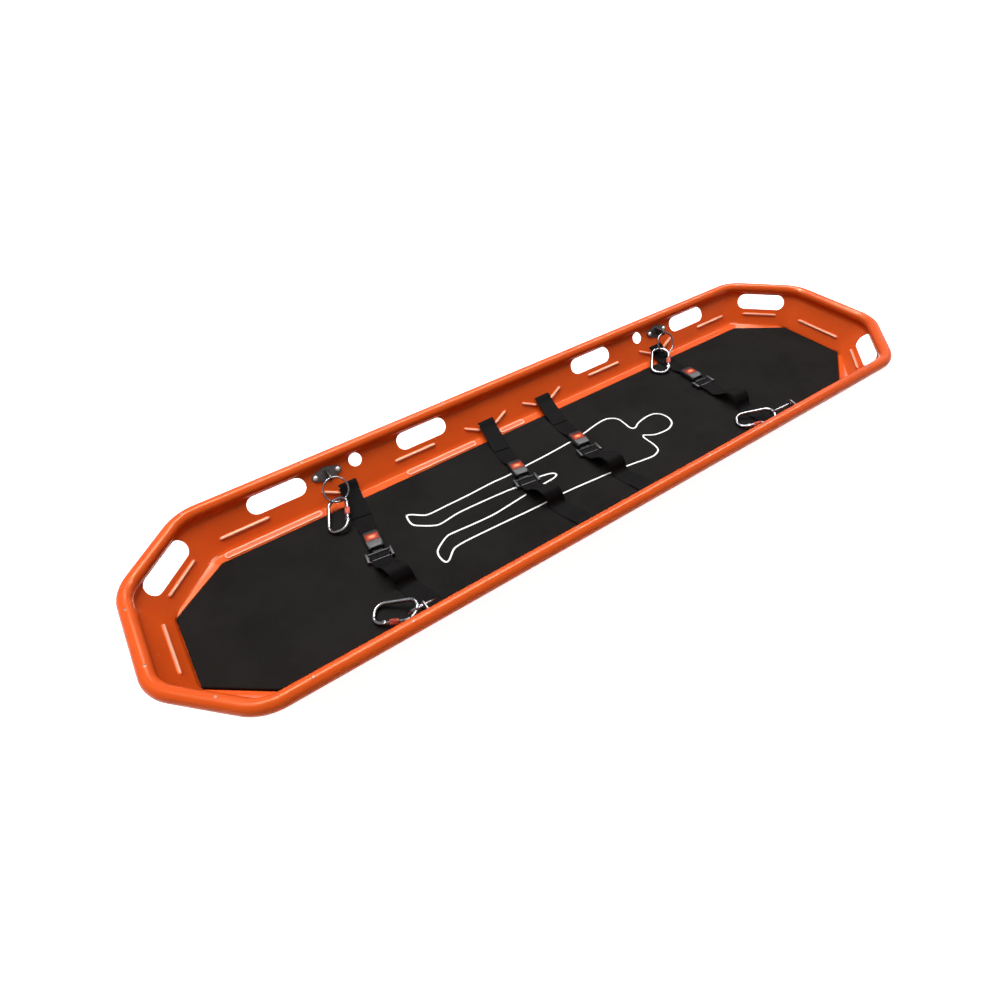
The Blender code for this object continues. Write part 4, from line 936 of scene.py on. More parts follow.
def wall_beads():
    """Beads on all eight walls, and the slanting pairs beside the strap slots."""
    beads = []
    inner, outer = (Vector(point) for point in SLOT_BEAD)
    middle = (inner + outer) / 2
    slant = atan2(outer.y - inner.y, outer.x - inner.x)
    for index in range(8):
        wall = panel(index)
        if index not in (BACK, FRONT):
            kind = "end" if index in (HEAD_END, FOOT_END) else "corner"
            beads.append((bead(BEAD_LENGTHS[kind]), wall @ shift(0, BEAD_T)))
            continue
        direction = 1 if index == BACK else -1
        for x in BEAD_X:
            for side in (-1, 1):
                beads.append((bead(BEAD_LENGTHS["side"]),
                              wall @ shift(side * x + direction * WALL_SHIFT, BEAD_T)))
        for strap in STRAPS:
            # The foot strap's slots have no bead on the head side
            for side in (-direction, ) if strap == 1 else (-1, 1):
                spot = wall @ shift(direction * strap_x(strap) + side * middle.x, middle.y)
                beads.append((bead((outer - inner).length + SLOT_BEAD_EXTRA, SLOT_BEAD_BOW),
                              spot @ Matrix.Rotation(side * slant, 4, "Z")))
    return beads


def band_pads():
    """The raised pads on the band between mat and wall, each a rounded border round a shallow tray."""
    pads = []
    for low, high in PAD_SPANS:
        for side in (-1, 1):
            rings = []
            for inset, share in PAD_SECTION:
                outline = stadium(high - low - 2 * inset, PAD_WIDTH - 2 * inset, 10)
                rings.append([(x, y, PAD_RAISE * share) for x, y in outline])
            spot = shift((low + high) / 2, side * BAND_MIDDLE, BAND_MIDDLE_Z)
            pads.append((loft(rings), spot @ Matrix.Rotation(side * BAND_TILT, 4, "X")))
    return pads


def mark_raised(mesh):
    """Note on each vertex how far a bead or a pad stands out there, for the painted highlights on their
    ridges.
    """
    walls = [panel(index).inverted() for index in range(8)]
    places = corners(CREASE_PLAN)
    reaches = [(places[index] - places[(index + 1) % 8]).length / 2 - HIGHLIGHT_MARGIN for index in range(8)]
    raised = mesh.attributes.new("raised", "FLOAT", "POINT")
    for vertex in mesh.vertices:
        spots = [wall @ vertex.co for wall in walls]
        height, index = min((spot.z, index) for index, spot in enumerate(spots))
        on_wall = HIGHLIGHT_BEADS[0] < spots[index].y < HIGHLIGHT_BEADS[1] and abs(spots[index].x) < reaches[index]
        from_middle = abs(vertex.co.y) - BAND_MIDDLE
        over_band = vertex.co.z - BAND_MIDDLE_Z - BAND_TILT * from_middle
        if on_wall and height > 0:
            raised.data[vertex.index].value = height
        elif abs(from_middle) < HIGHLIGHT_PAD_HALF and HIGHLIGHT_PADS[0] < over_band < HIGHLIGHT_PADS[1]:
            raised.data[vertex.index].value = over_band * HIGHLIGHT_PAD_SHARE


def wall_cutters():
    """Handholes, round holes, bolt holes and strap slots through the walls."""
    cutters = []

    def cut(outline, wall, x, t):
        cutters.append((plate(outline, -CUT_REACH, CUT_REACH), wall @ shift(x, t)))

    for index in (CORNER_1, CORNER_2, CORNER_3, CORNER_4):
        cut(stadium(*HANDHOLE), panel(index), 0, HANDHOLE_T)
    for index, direction in ((BACK, 1), (FRONT, -1)):
        wall = panel(index)
        moved = direction * WALL_SHIFT
        for side in (-1, 1):
            for x in HANDHOLE_X:
                cut(stadium(*HANDHOLE), wall, side * x + moved, HANDHOLE_T)
            cut(circle(ROUND_HOLE_RADIUS, steps=40), wall, side * ROUND_HOLE_X + moved, ROUND_HOLE_T)
            for bolt in (-BOLT_SPACING / 2, BOLT_SPACING / 2):
                cut(circle(BOLT_HOLE_RADIUS, steps=16), wall, side * ANCHOR_X + bolt, ANCHOR_T)
        for strap in STRAPS:
            reach, rise = (size / 2 - SLOT_CORNER for size in SLOT_DRAWN)
            rounds = [circle(SLOT_CORNER, (x, y), 12) for x in (-reach, reach) for y in (-rise, rise)]
            cut(hull(sum(rounds, [])), wall, direction * strap_x(strap), SLOT_T)
    return cutters


def strap_x(strap):
    """Where a strap's slots stand along the stretcher."""
    low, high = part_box("keeper_back_%d" % strap)
    return (low.x + high.x) / 2


def rivet(radius, height):
    """A low domed rivet head with a fine rim."""
    dome = [(radius * out, height * up) for out, up in RIVET_DOME]
    return turned(dome + [(radius, -RIVET_SEAT), (0, -RIVET_SEAT)], 20)


def rim_point(x, y, angle):
    """Point and outward normal at an angle round the roll, where the rim passes a plan position."""
    spot = Vector((x, y))
    outline = [Vector(point) for point in rounded(RIM_PLAN, RIM_BEND)]
    found = []
    for first, second in zip(outline, outline[1:] + outline[:1]):
        run = second - first
        point = first + run * max(0.0, min(1.0, (spot - first).dot(run) / run.length_squared))
        found.append(((point - spot).length, point, run))
    _, point, run = min(found, key=lambda item: item[0])
    out = Vector((run.y, -run.x)).normalized()
    normal = Vector((out.x * cos(angle), out.y * cos(angle), sin(angle)))
    return Vector((point.x, point.y, RIM_Z)) + normal * ROLL_RADIUS, normal


# Mat

def mat_wave(x, y):
    """How far the mat's top lies from its highest level, downwards and so below zero."""
    return MAT_WAVE * sum(sin(a * x + b * y + start) for a, b, start in MAT_WAVES) - MAT_SINK


def mat_half(x):
    """Half width of the mat at a distance along it."""
    end_x, side_y, end_half, side_half = MAT_PLAN
    if abs(x) <= side_half:
        return side_y
    return side_y + (end_half - side_y) * (abs(x) - side_half) / (end_x - side_half)


def mat_shape(edge):
    """The mat as one closed form with a rolled upper edge and a faintly uneven top."""
    columns, rows = MAT_GRID
    end_x, _, _, side_half = MAT_PLAN
    stops = {-end_x + 2 * end_x * column / columns for column in range(columns + 1)}
    stops = sorted(stops | {-side_half, side_half})
    shrink = (end_x - edge) / end_x
    shape = bmesh.new()
    grid = []
    for x in stops:
        inner = mat_half(x) - edge
        places = [(x * shrink, -inner + 2 * inner * row / rows) for row in range(rows + 1)]
        grid.append([shape.verts.new((*place, MAT_TOP + mat_wave(*place))) for place in places])
    for first, second in zip(grid, grid[1:]):
        for row in range(rows):
            shape.faces.new((first[row], second[row], second[row + 1], first[row + 1]))
    rim = [column[0] for column in grid] + grid[-1][1:]
    rim += [column[-1] for column in reversed(grid[:-1])] + list(reversed(grid[0][1:-1]))
    last = rim
    for angle, floor in [(pi / 8 * k, None) for k in range(1, 5)] + [(pi / 2, FLOOR_TOP + GAP)]:
        ring = []
        for vertex in rim:
            x, y, top = vertex.co
            out_x = x + (x / shrink - x) * sin(angle)
            out_y = y + copysign(edge * sin(angle) * min(1.0, abs(y) / MAT_EASE), y)
            z = top - edge * (1 - cos(angle)) if floor is None else floor
            ring.append(shape.verts.new((out_x, out_y, z)))
        for index in range(len(ring)):
            after = (index + 1) % len(ring)
            shape.faces.new((last[index], last[after], ring[after], ring[index]))
        last = ring
    shape.faces.new(last)
    bmesh.ops.recalc_face_normals(shape, faces=shape.faces)
    return shape


def smooth_path(points, spacing, closed=False):
    """Points on a smooth curve through a route of tuples, about a spacing apart in space."""
    route = [Vector(point) for point in points]
    count = len(route)
    result = []
    for index in range(count if closed else count - 1):
        p1 = route[index]
        p2 = route[(index + 1) % count]
        p0 = route[index - 1] if closed or index else p1 * 2 - p2
        p3 = route[(index + 2) % count] if closed or index + 2 < count else p2 * 2 - p1
        spans = [max((b - a).length, 1e-6) ** 0.5 for a, b in ((p0, p1), (p1, p2), (p2, p3))]
        m1 = (p2 - p1) + ((p1 - p0) / spans[0] - (p2 - p0) / (spans[0] + spans[1])) * spans[1]
        m2 = (p2 - p1) + ((p3 - p2) / spans[2] - (p3 - p1) / (spans[1] + spans[2])) * spans[1]
        steps = max(1, round((p2 - p1).length / spacing))
        for step in range(steps):
            t = step / steps
            result.append(p1 * (2 * t ** 3 - 3 * t * t + 1) + m1 * (t ** 3 - 2 * t * t + t)
                          + p2 * (3 * t * t - 2 * t ** 3) + m2 * (t ** 3 - t * t))
    if not closed:
        result.append(route[-1])
    return result


# The body outline, in millimetres along and across the stretcher, from the head round both legs
BODY_OUTLINE = (
    (101, 64), (151, 74), (185, 78), (202, 76), (217, 67), (225, 55), (226, 30), (225, 6), (231, -2),
    (239, -2), (256, 7), (293, 15), (321, 13), (338, 0), (343, -25), (333, -49), (308, -62), (283, -63),
    (257, -58), (238, -46), (231, -42), (226, -47), (225, -61), (225, -93), (218, -112), (196, -122),
    (165, -120), (122, -113), (80, -108), (36, -103), (-95, -92), (-172, -92), (-297, -86), (-397, -84),
    (-415, -88), (-443, -111), (-450, -112), (-454, -105), (-454, -80), (-446, -67), (-407, -43),
    (-393, -42), (-345, -46), (-280, -49), (-208, -43), (-176, -40), (-107, -34), (-71, -31), (-62, -25),
    (-65, -17), (-101, -6), (-168, -3), (-201, 1), (-274, 6), (-347, 8), (-397, 2), (-410, 4), (-451, 34),
    (-457, 44), (-456, 70), (-453, 77), (-446, 76), (-415, 51), (-401, 48), (-359, 48), (-286, 48),
    (-218, 50), (-164, 48), (-104, 51), (-35, 53), (35, 57),
)


def outline_strip(width):
    """The printed line: a thin strip that follows the outline over the mat."""
    route = smooth_path([(x / 1000, y / 1000) for x, y in BODY_OUTLINE], 0.004, closed=True)
    shape = bmesh.new()
    rows = []
    for index, point in enumerate(route):
        along = (route[(index + 1) % len(route)] - route[index - 1]).normalized()
        side = Vector((-along.y, along.x)) * width / 2
        places = [(point + side * share, rise) for share, rise in INK_SECTION]
        rows.append([shape.verts.new((x, y, MAT_TOP + mat_wave(x, y) + rise)) for (x, y), rise in places])
    for row, after in zip(rows, rows[1:] + rows[:1]):
        for k in range(len(row)):
            beside = (k + 1) % len(row)
            shape.faces.new((row[k], row[beside], after[beside], after[k]))
    bmesh.ops.recalc_face_normals(shape, faces=shape.faces)
    return shape


# Straps

SLOT_BACK = panel(BACK) @ Vector((0, SLOT_T, 0))
WEB_FALL = SLOT_BACK.z - WEB_ON_MAT
KEEPER_DEPTH = SHEET + GAP + KEEPER_RADIUS
KEEPER_LOOP = KEEPER_RADIUS + GAP + WEB_THICKNESS / 2
SLOT_LEAD = 0.002
BAR_LOOP = BAR_RADIUS + GAP + WEB_THICKNESS / 2
# Distance from the slot, and the share of the fall that is left, where straps lie close and loose
CLOSE_ROUTE = ((0.018, 0.515), (0.035, 0.172), (0.047, 0.019), (0.060, 0.0))
LOOSE_ROUTE = ((0.020, 0.706), (0.045, 0.458), (0.075, 0.172), (0.100, 0.019))
# The webbing's way into the buckle: distance from its end, half width and height
BUCKLE_ROUTE = ((0.0102, WEB_NARROW, WEB_SLOT_Z), (-0.002, WEB_NARROW, WEB_SLOT_Z - GAP),
                (-0.021, WEB_NARROW + 0.004, MAT_TOP + 0.005), (-0.045, WEB_HALF, WEB_ON_MAT))
# The slack beyond the adjuster, by distance and height over the mat
HUMP = ((0.010, 0.0160), (0.027, 0.0295), (0.041, 0.0380), (0.053, 0.0405), (0.065, 0.0370),
        (0.075, 0.0250), (0.081, 0.0110), (0.089, 0.0035), (0.105, WEB_ON_MAT - MAT_TOP))
TAIL_PLACES = (0.062, 0.029, 0.017)
OVER_BAR = ((0.007, BAR_LOOP - 0.0004), (0.0145, 0.0029))
# Where the hardware is set back this far, the webbing lies straight before its slack starts
PULLED_FROM = 0.030
PULLED = ((0.52, 0.0085), (0.16, 0.0072))


def strap_yaw(strap):
    """How far a strap turns from straight across, from the way its tongue slides."""
    axis = JOINTS["tongue_pull_%d" % strap]["axis"]
    return atan2(axis[0], -axis[1])


def strap_frame(strap):
    """Frame of a strap's hardware: the strap runs along -y from its back slot."""
    slot = shift(strap_x(strap), SLOT_BACK.y) @ Matrix.Rotation(strap_yaw(strap), 4, "Z")
    return slot @ shift(0, HARDWARE_BACK[strap])


def fallen(route):
    """A route with its shares of the fall turned to heights."""
    return [(distance, WEB_ON_MAT + WEB_FALL * share) for distance, share in route]


def keeper_loop():
    """The webbing's way through the slot and round the keeper, by distance and height."""
    wall = panel(BACK)
    path = [(SLOT_LEAD, SLOT_T - KEEPER_LOOP), *circle(KEEPER_LOOP, (-KEEPER_DEPTH, SLOT_T), 4, -pi / 2, -pi),
            (SLOT_LEAD, SLOT_T + KEEPER_LOOP)]
    places = [wall @ Vector((0, t, out)) for out, t in path]
    return [(SLOT_BACK.y - place.y, place.z) for place in places]


def strap_place(strap, distance):
    """Middle of the strap in plan, and the yaw across it, by distance from the back slot."""
    yaw = strap_yaw(strap)
    slot_x = strap_x(strap)
    hardware_end = HARDWARE_END - HARDWARE_BACK[strap]
    tail = BACK_TAIL - HARDWARE_BACK[strap]
    x = slot_x + min(distance, hardware_end) * sin(yaw)
    y = SLOT_BACK.y - distance * cos(yaw)
    if distance > hardware_end:
        left = (y + SLOT_BACK.y) / (2 * SLOT_BACK.y - hardware_end * cos(yaw))
        ease = left * left * (3 - 2 * left)
        return (slot_x + (x - slot_x) * ease, y, yaw * ease)
    return (x, y, yaw * max(distance, 0) / tail if distance < tail else yaw)


def back_route(strap):
    """From the buckle to the back slot, round the keeper, and its sewn tail on top."""
    route = fallen(CLOSE_ROUTE if strap in BOX_START else LOOSE_ROUTE)
    lean = cos(strap_yaw(strap))
    buckle = BUCKLE[0] - HARDWARE_BACK[strap]
    tail = BACK_TAIL - HARDWARE_BACK[strap]
    stations = [(*strap_place(strap, buckle + distance), half, z) for distance, half, z in BUCKLE_ROUTE]
    stations.append((*strap_place(strap, tail), WEB_HALF, WEB_ON_MAT))
    for distance, z in reversed(route):
        stations.append((*strap_place(strap, distance / lean), WEB_HALF, z))
    for distance, z in keeper_loop():
        stations.append((strap_x(strap), SLOT_BACK.y - distance, 0.0, WEB_HALF, z))
    for distance, z in route + [(tail * lean, WEB_ON_MAT)]:
        stations.append((*strap_place(strap, distance / lean), WEB_HALF, z + WEB_PITCH))
    return stations


def front_route(strap):
    """From its tail round the adjuster bar, over its slack, to the front slot and keeper."""
    bar = BAR_S - HARDWARE_BACK[strap]
    path = [(bar + distance, WEB_ON_MAT) for distance in TAIL_PLACES]
    path += circle(BAR_LOOP, (bar, BAR_Z), 4, -pi / 2, -pi)
    path += [(bar + distance, BAR_Z + height) for distance, height in OVER_BAR]
    if HARDWARE_BACK[strap] > PULLED_FROM:
        path += [(HARDWARE_END - HARDWARE_BACK[strap] * share, MAT_TOP + height) for share, height in PULLED]
    path += [(HARDWARE_END + distance, MAT_TOP + height) for distance, height in HUMP]
    stations = [(*strap_place(strap, distance), WEB_HALF, z) for distance, z in path]
    lean = cos(strap_yaw(strap))
    full = 2 * SLOT_BACK.y / lean
    route = fallen(CLOSE_ROUTE)
    for distance, z in reversed(route):
        stations.append((*strap_place(strap, full - distance / lean), WEB_HALF, z))
    for distance, z in keeper_loop():
        stations.append((strap_x(strap), distance - SLOT_BACK.y, 0.0, WEB_HALF, z))
    for distance, z in route + [(FRONT_TAIL, WEB_ON_MAT)]:
        stations.append((*strap_place(strap, full - distance / lean), WEB_HALF, z + WEB_PITCH))
    return stations


def webbing_shape(stations):
    """A strip of webbing with thick rounded selvedges, its thread coordinates in metres."""
    route = smooth_path(stations, 0.003)
    places = [Vector((point[0], point[1], point[4])) for point in route]
    around = WEB_SECTION + tuple((side, inset, -rise) for side, inset, rise in reversed(WEB_SECTION[1:-1]))
    shape = bmesh.new()
    layer = shape.loops.layers.uv.new("thread")
    rows = []
    travel = 0.0
    for index, point in enumerate(route):
        along = (places[min(index + 1, len(places) - 1)] - places[max(index - 1, 0)]).normalized()
        across = Vector((cos(point[2]), sin(point[2]), 0))
        across = (across - along * across.dot(along)).normalized()
        out = across.cross(along) * WEB_THICKNESS / 2
        if index:
            travel += (places[index] - places[index - 1]).length
        row = []
        for side, inset, rise in around:
            reach = side * point[3] + inset
            row.append((shape.verts.new(places[index] + across * reach + out * rise), (reach, travel)))
        rows.append(row)
    for first, second in zip(rows, rows[1:]):
        for k in range(len(around)):
            after = (k + 1) % len(around)
            corners_here = (first[k], first[after], second[after], second[k])
            face = shape.faces.new([vertex for vertex, _ in corners_here])
            for loop, (_, thread) in zip(face.loops, corners_here):
                loop[layer].uv = thread
    for row in (rows[0], rows[-1]):
        shape.faces.new([vertex for vertex, _ in row])
    bmesh.ops.recalc_face_normals(shape, faces=shape.faces)
    return shape


def stitch_rows(strap, lines, height):
    """Runs of thread stitches over a sewn tail, from lines between two places on the strap."""
    stitches = []
    for (near, left), (far, right) in lines:
        count = max(1, round(Vector((far - near, right - left)).length / STITCH_PITCH))
        heading = atan2(near - far, right - left)
        for step in range(count):
            share = (step + 0.5) / count
            x, y, yaw = strap_place(strap, near + (far - near) * share)
            place = shift(x, y, height) @ Matrix.Rotation(yaw, 4, "Z")
            place = place @ shift(left + (right - left) * share) @ Matrix.Rotation(heading, 4, "Z")
            stitch = rod_along([(x, 0, z) for x, z, _ in STITCH], [radius for _, _, radius in STITCH], 6)
            stitches.append((stitch, place @ shift(0, 0, -STITCH_SINK)))
    return stitches


def box_stitch(near, far):
    """The lines of a boxed cross between two distances along the strap."""
    half = BOX_HALF
    return [((near, -half), (far, -half)), ((near, half), (far, half)), ((near, -half), (near, half)),
            ((far, -half), (far, half)), ((near, -half), (far, half)), ((near, half), (far, -half))]


# Buckles, each piece in the frame of its strap's hardware

def buckle_case():
    """The buckle's case: rounded, with a waist for grip, a button pocket and its two mouths."""
    start, end = BUCKLE
    low = MAT_TOP + GAP
    top = low + BUCKLE_SIZE[1]
    rings = []
    for along, wide, tall in CASE_SECTIONS:
        reach, rise = (BUCKLE_SIZE[0] / 2 * wide, BUCKLE_SIZE[1] / 2 * tall)
        middle = (low + top) / 2 - (CASE_SAG if along >= CASE_SAG_FROM else 0)
        squared = [[copysign(abs(part) ** CASE_POWER, part) for part in point]
                   for point in circle(1.0, steps=CASE_SIDES)]
        rings.append([(reach * x, -(start + along), middle + rise * z) for x, z in squared])
    half = BUTTON_SIZE[0] / 2 + GAP
    floor = top + BUTTON_PROUD - BUTTON_SIZE[1] - BUTTON_TRAVEL - GAP
    pocket = rounded_block((-half, -BUTTON[1] - GAP, floor), (half, -BUTTON[0] + GAP, top + PAST),
                           EDGE["pocket"])
    half = WEB_NARROW + 2 * GAP
    web_mouth = rounded_block((-half, -start - WEB_MOUTH_DEPTH, WEB_SLOT_Z - MOUTH_HALF),
                              (half, -start + PAST, WEB_SLOT_Z + MOUTH_HALF), EDGE["web_mouth"])
    half = TONGUE_SIZE[0] / 2 + GAP
    tongue_mouth = rounded_block((-half, -end - PAST, TONGUE_Z - TONGUE_MOUTH_HALF),
                                 (half, -end + TONGUE_DEPTH + GAP, TONGUE_Z + TONGUE_MOUTH_HALF),
                                 EDGE["tongue_mouth"])
    return carved("case", loft(rings), *(("DIFFERENCE", tool) for tool in (pocket, web_mouth, tongue_mouth)))


def buckle_inlay(half, low, high, tip, hole=None):
    """A thin plate let into the case's top, between two distances, narrower by a tip at its near end."""
    top = MAT_TOP + GAP + BUCKLE_SIZE[1]
    right = [(half, -low), (half, -(low + high) / 2), (half - tip, -high)]
    shape = plate([(-x, y) for x, y in right] + right[::-1], top - INLAY[0], top + INLAY[1], EDGE["inlay"])
    if hole:
        wide, start, end = hole
        window = [(-wide, -start), (-wide, -end), (wide, -end), (wide, -start)]
        shape = carved("inlay", shape, ("DIFFERENCE", plate(window, top - THROUGH, top + THROUGH)))
    return shape


def button_shape():
    """The press button: a dished face with a raised bar across it, its origin on top."""
    half = BUTTON_SIZE[0] / 2
    long = (BUTTON[1] - BUTTON[0]) / 2
    body = rounded_block((-half, -long, -BUTTON_SIZE[1]), (half, long, 0), EDGE["button"])
    wide, deep, sunk, rise = BUTTON_BAR
    ridge = rounded_block((-half * wide, -long * deep, -sunk), (half * wide, long * deep, rise),
                          EDGE["button_bar"])
    return merge([body, ridge])


def bar_shape(radius, bevel):
    """The bar that the webbing turns round, or with a larger radius its seat."""
    reach = ADJUSTER_WIDTH / 2 - CHEEK_WIDTH + BAR_SEAT + (radius - BAR_RADIUS)
    return rod_between((-reach, -BAR_S, BAR_Z), (reach, -BAR_S, BAR_Z), radius, 24, bevel)


def adjuster_mesh():
    """The tongue blade and the adjuster frame with its upturned cheeks and seat for the bar."""
    half = ADJUSTER_WIDTH / 2
    start, end = ADJUSTER
    low = TONGUE_Z - ADJUSTER_THICKNESS / 2 + ADJUSTER_LIFT
    body = rounded_block((-half, -end, low), (half, -start, low + ADJUSTER_THICKNESS), EDGE["frame"])
    steps = []
    for side in (-1, 1):
        left, right = sorted((side * half, side * (half - CHEEK_WIDTH)))
        steps.append(("UNION", rounded_block(
            (left, -end - CHEEK_PROUD, BAR_Z - CHEEK_HEIGHT / 2 + CHEEK_PROUD),
            (right, -start + CHEEK_PROUD, BAR_Z + CHEEK_HEIGHT / 2), EDGE["cheek"])))
    wide, thin = (TONGUE_SIZE[0] / 2, TONGUE_SIZE[1] / 2)
    steps.append(("UNION", rounded_block((-wide, -start - BLADE_ROOT, TONGUE_Z - thin),
                                         (wide, -BUCKLE[1] + TONGUE_DEPTH, TONGUE_Z + thin),
                                         EDGE["blade"])))
    window = half - CHEEK_WIDTH
    steps.append(("DIFFERENCE", rounded_block(
        (-window, -end + ADJUSTER_RAIL, low - PAST),
        (window, -start - ADJUSTER_RAIL, low + ADJUSTER_THICKNESS + PAST), EDGE["window"])))
    steps.append(("DIFFERENCE", bar_shape(BAR_RADIUS + GAP, EDGE["bar_seat"])))
    return carved("adjuster", body, *steps)


def adjuster_lips():
    """The lighter lip that the webbing runs under, the far rail's edge, and a cap on each cheek: worn steel,
    and painted highlights along the edges.
    """
    half = ADJUSTER_WIDTH / 2
    start, end = ADJUSTER
    high = BAR_Z + CHEEK_HEIGHT / 2
    rail = TONGUE_Z + ADJUSTER_THICKNESS / 2 + ADJUSTER_LIFT
    lips = [rounded_block((-half + LIP_INSET, -end - LIP_SPAN[0], BAR_Z + LIP_RISE[0]),
                          (half - LIP_INSET, -end + LIP_SPAN[1], high + LIP_RISE[1]), EDGE["lip"]),
            rounded_block((-half + RAIL_INSET, -start - RAIL_SPAN[0], rail - RAIL_RISE[0]),
                          (half - RAIL_INSET, -start - RAIL_SPAN[1], rail + RAIL_RISE[1]), EDGE["rail"])]
    for side in (-1, 1):
        left, right = sorted((side * half, side * (half - CAP_WIDTH)))
        lips.append(rounded_block((left + CAP_INSET, -end - CAP_SPAN[0], high - CAP_RISE[0]),
                                  (right - CAP_INSET, -end + CAP_SPAN[1], high + CAP_RISE[1]),
                                  EDGE["cap"]))
    return merge(lips)


# Lifting points: the anchor's pieces in its own frame, the carabiner's in the carabiner's

def anchor_frame(name):
    """Frame of a lifting point's base plate, between its bolts on the wall."""
    side = 1 if name.endswith("back") else -1
    end = 1 if name.startswith("head") else -1
    return panel(BACK if side > 0 else FRONT) @ shift(side * end * ANCHOR_X, ANCHOR_T)


def anchor_mesh():
    """Base plate with rounded rims, and the lug that stands out of it."""
    bolts = (-BOLT_SPACING / 2, BOLT_SPACING / 2)
    rounds = [circle(PLATE_ENDS, (x, 0)) for x in bolts] + [circle(PLATE_MIDDLE, steps=48)]
    base = plate(hull(sum(rounds, [])), GAP, GAP + PLATE_THICKNESS, EDGE["plate"], 3)
    eye = (LUG_REACH, -LUG_DROP)
    root = GAP + PLATE_THICKNESS / 2
    lug = hull(circle(LUG_RADIUS, eye, 40) + [(root, LUG_ROOT), (root, -LUG_ROOT)])
    upright = axes_matrix((0, 0, 1), (0, 1, 0), (-1, 0, 0), (0, 0, 0))
    lug = merge([(plate(lug, -LUG_THICKNESS / 2, LUG_THICKNESS / 2, EDGE["lug"], 3), upright)])
    hole = merge([(plate(circle(LUG_HOLE, eye, 32), -THROUGH, THROUGH), upright)])
    bolt_holes = merge([plate(circle(BOLT_HOLE_RADIUS, (x, 0), 16), -THROUGH, THROUGH) for x in bolts])
    return carved("anchor", base, ("UNION", lug), ("DIFFERENCE", hole), ("DIFFERENCE", bolt_holes))


def bolts_shape():
    """Two dome-headed bolts with washers, and the nut strip behind the wall."""
    back = -SHEET - GAP
    wide, thick = NUT_STRIP
    strip = plate(stadium(BOLT_SPACING + wide, wide, 10), back - thick, back, EDGE["strip"])
    seat = 2 * GAP + PLATE_THICKNESS
    radius, height = BOLT_HEAD
    profile = [(radius * out, seat + height * up) for out, up in BOLT_DOME]
    profile += [(radius * 0.9, seat + WASHER[1]), (radius, seat + WASHER[0]), (radius, seat),
                (BOLT_RADIUS, seat), (BOLT_RADIUS, back - BOLT_END), (0, back - BOLT_END)]
    return merge([strip] + [(turned(profile, 28), shift(side * BOLT_SPACING / 2)) for side in (-1, 1)])


def ring_shape(name):
    """The round ring between lug and carabiner."""
    hook, foot = (Vector(JOINTS[joint + name]["pos_m"]) for joint in ("ring_swing_", "carabiner_swing_"))
    up = (hook - foot).normalized()
    points = [(hook + foot) / 2 + Vector((1, 0, 0)) * x + up * y for x, y in circle(RING_RADIUS, steps=72)]
    return rod_along(points, RING_WIRE, 18, closed=True)


def carabiner_frame(name):
    """A carabiner's own frame, from its gate and sleeve joints: x from the ring, y to the gate."""
    gate = JOINTS["gate_open_" + name]
    along = -Vector(JOINTS["sleeve_lock_" + name]["axis"])
    out = Vector(gate["axis"])
    across = out.cross(along)
    return axes_matrix(along, across, out, Vector(gate["pos_m"]) - along * PIN_X - across * GATE_Y)


def carabiner_mesh():
    """The bent rod from its nose to its hinge, with the notched nose and the flattened tang."""
    half, rod, bend = (GATE_Y, CARABINER_ROD, CARABINER_BEND)
    far = CARABINER[0] - 2 * rod - bend
    neck = NOSE_X - NOSE_LENGTH
    root = PIN_X + FORK_RADIUS + 2 * GATE_GAP
    nose = ((NOSE_X, GATE_ROD - NOSE_CHAMFER), (NOSE_X - NOSE_CHAMFER, GATE_ROD),
            (neck + ROD_CHAMFER, GATE_ROD), (neck, rod - 0.0001), (neck - 2 * GAP, rod))
    turns = []
    for x, y, start in ((bend, half - bend, pi / 2), (bend, bend - half, pi), (far, bend - half, -pi / 2),
                        (far, half - bend, 0)):
        turns += circle(bend, (x, y), 14, start, pi / 2)
    turns += [(root + ROD_CHAMFER, half), (root, half)]
    path = [(x, half, 0) for x, _ in nose] + [(x, y, 0) for x, y in turns]
    radii = [radius for _, radius in nose] + [rod] * (len(turns) - 1) + [rod - ROD_CHAMFER]
    round_radius, thick = TANG
    reach, rise = TANG_ROOT
    tang = hull(circle(round_radius, (PIN_X, half), 24)
                + [(root + reach, half - rise), (root + reach, half + rise)])
    hole = plate(circle(PIN_RADIUS + GAP, (PIN_X, half), 16), -THROUGH, THROUGH)
    tang = plate(tang, -thick, thick, EDGE["tang"])
    return carved("carabiner", rod_along(path, radii, 24), ("UNION", tang), ("DIFFERENCE", hole))


def gate_mesh():
    """The gate: a rod with a collar and a ball at its nose, and a fork round the hinge pin."""
    tip = NOSE_X + GATE_GAP - PIN_X
    path = [(tip + x, radius) for x, radius in GATE_TIP] + list(GATE_FOOT)
    rod = rod_along([(x, 0, 0) for x, _ in path], [radius for _, radius in path], 24)
    fork = plate(circle(FORK_RADIUS, steps=28), -CARABINER_ROD, CARABINER_ROD, EDGE["fork"])
    reach = 2 * FORK_RADIUS
    slot = rounded_block((-FORK_RADIUS, -reach, -FORK_SLOT), (reach, reach, FORK_SLOT), EDGE["fork_slot"], 1)
    pin = plate(circle(PIN_RADIUS, steps=16), -CARABINER_ROD * 0.9, CARABINER_ROD * 0.9)
    return carved("gate", rod, ("UNION", fork), ("DIFFERENCE", slot), ("UNION", pin))


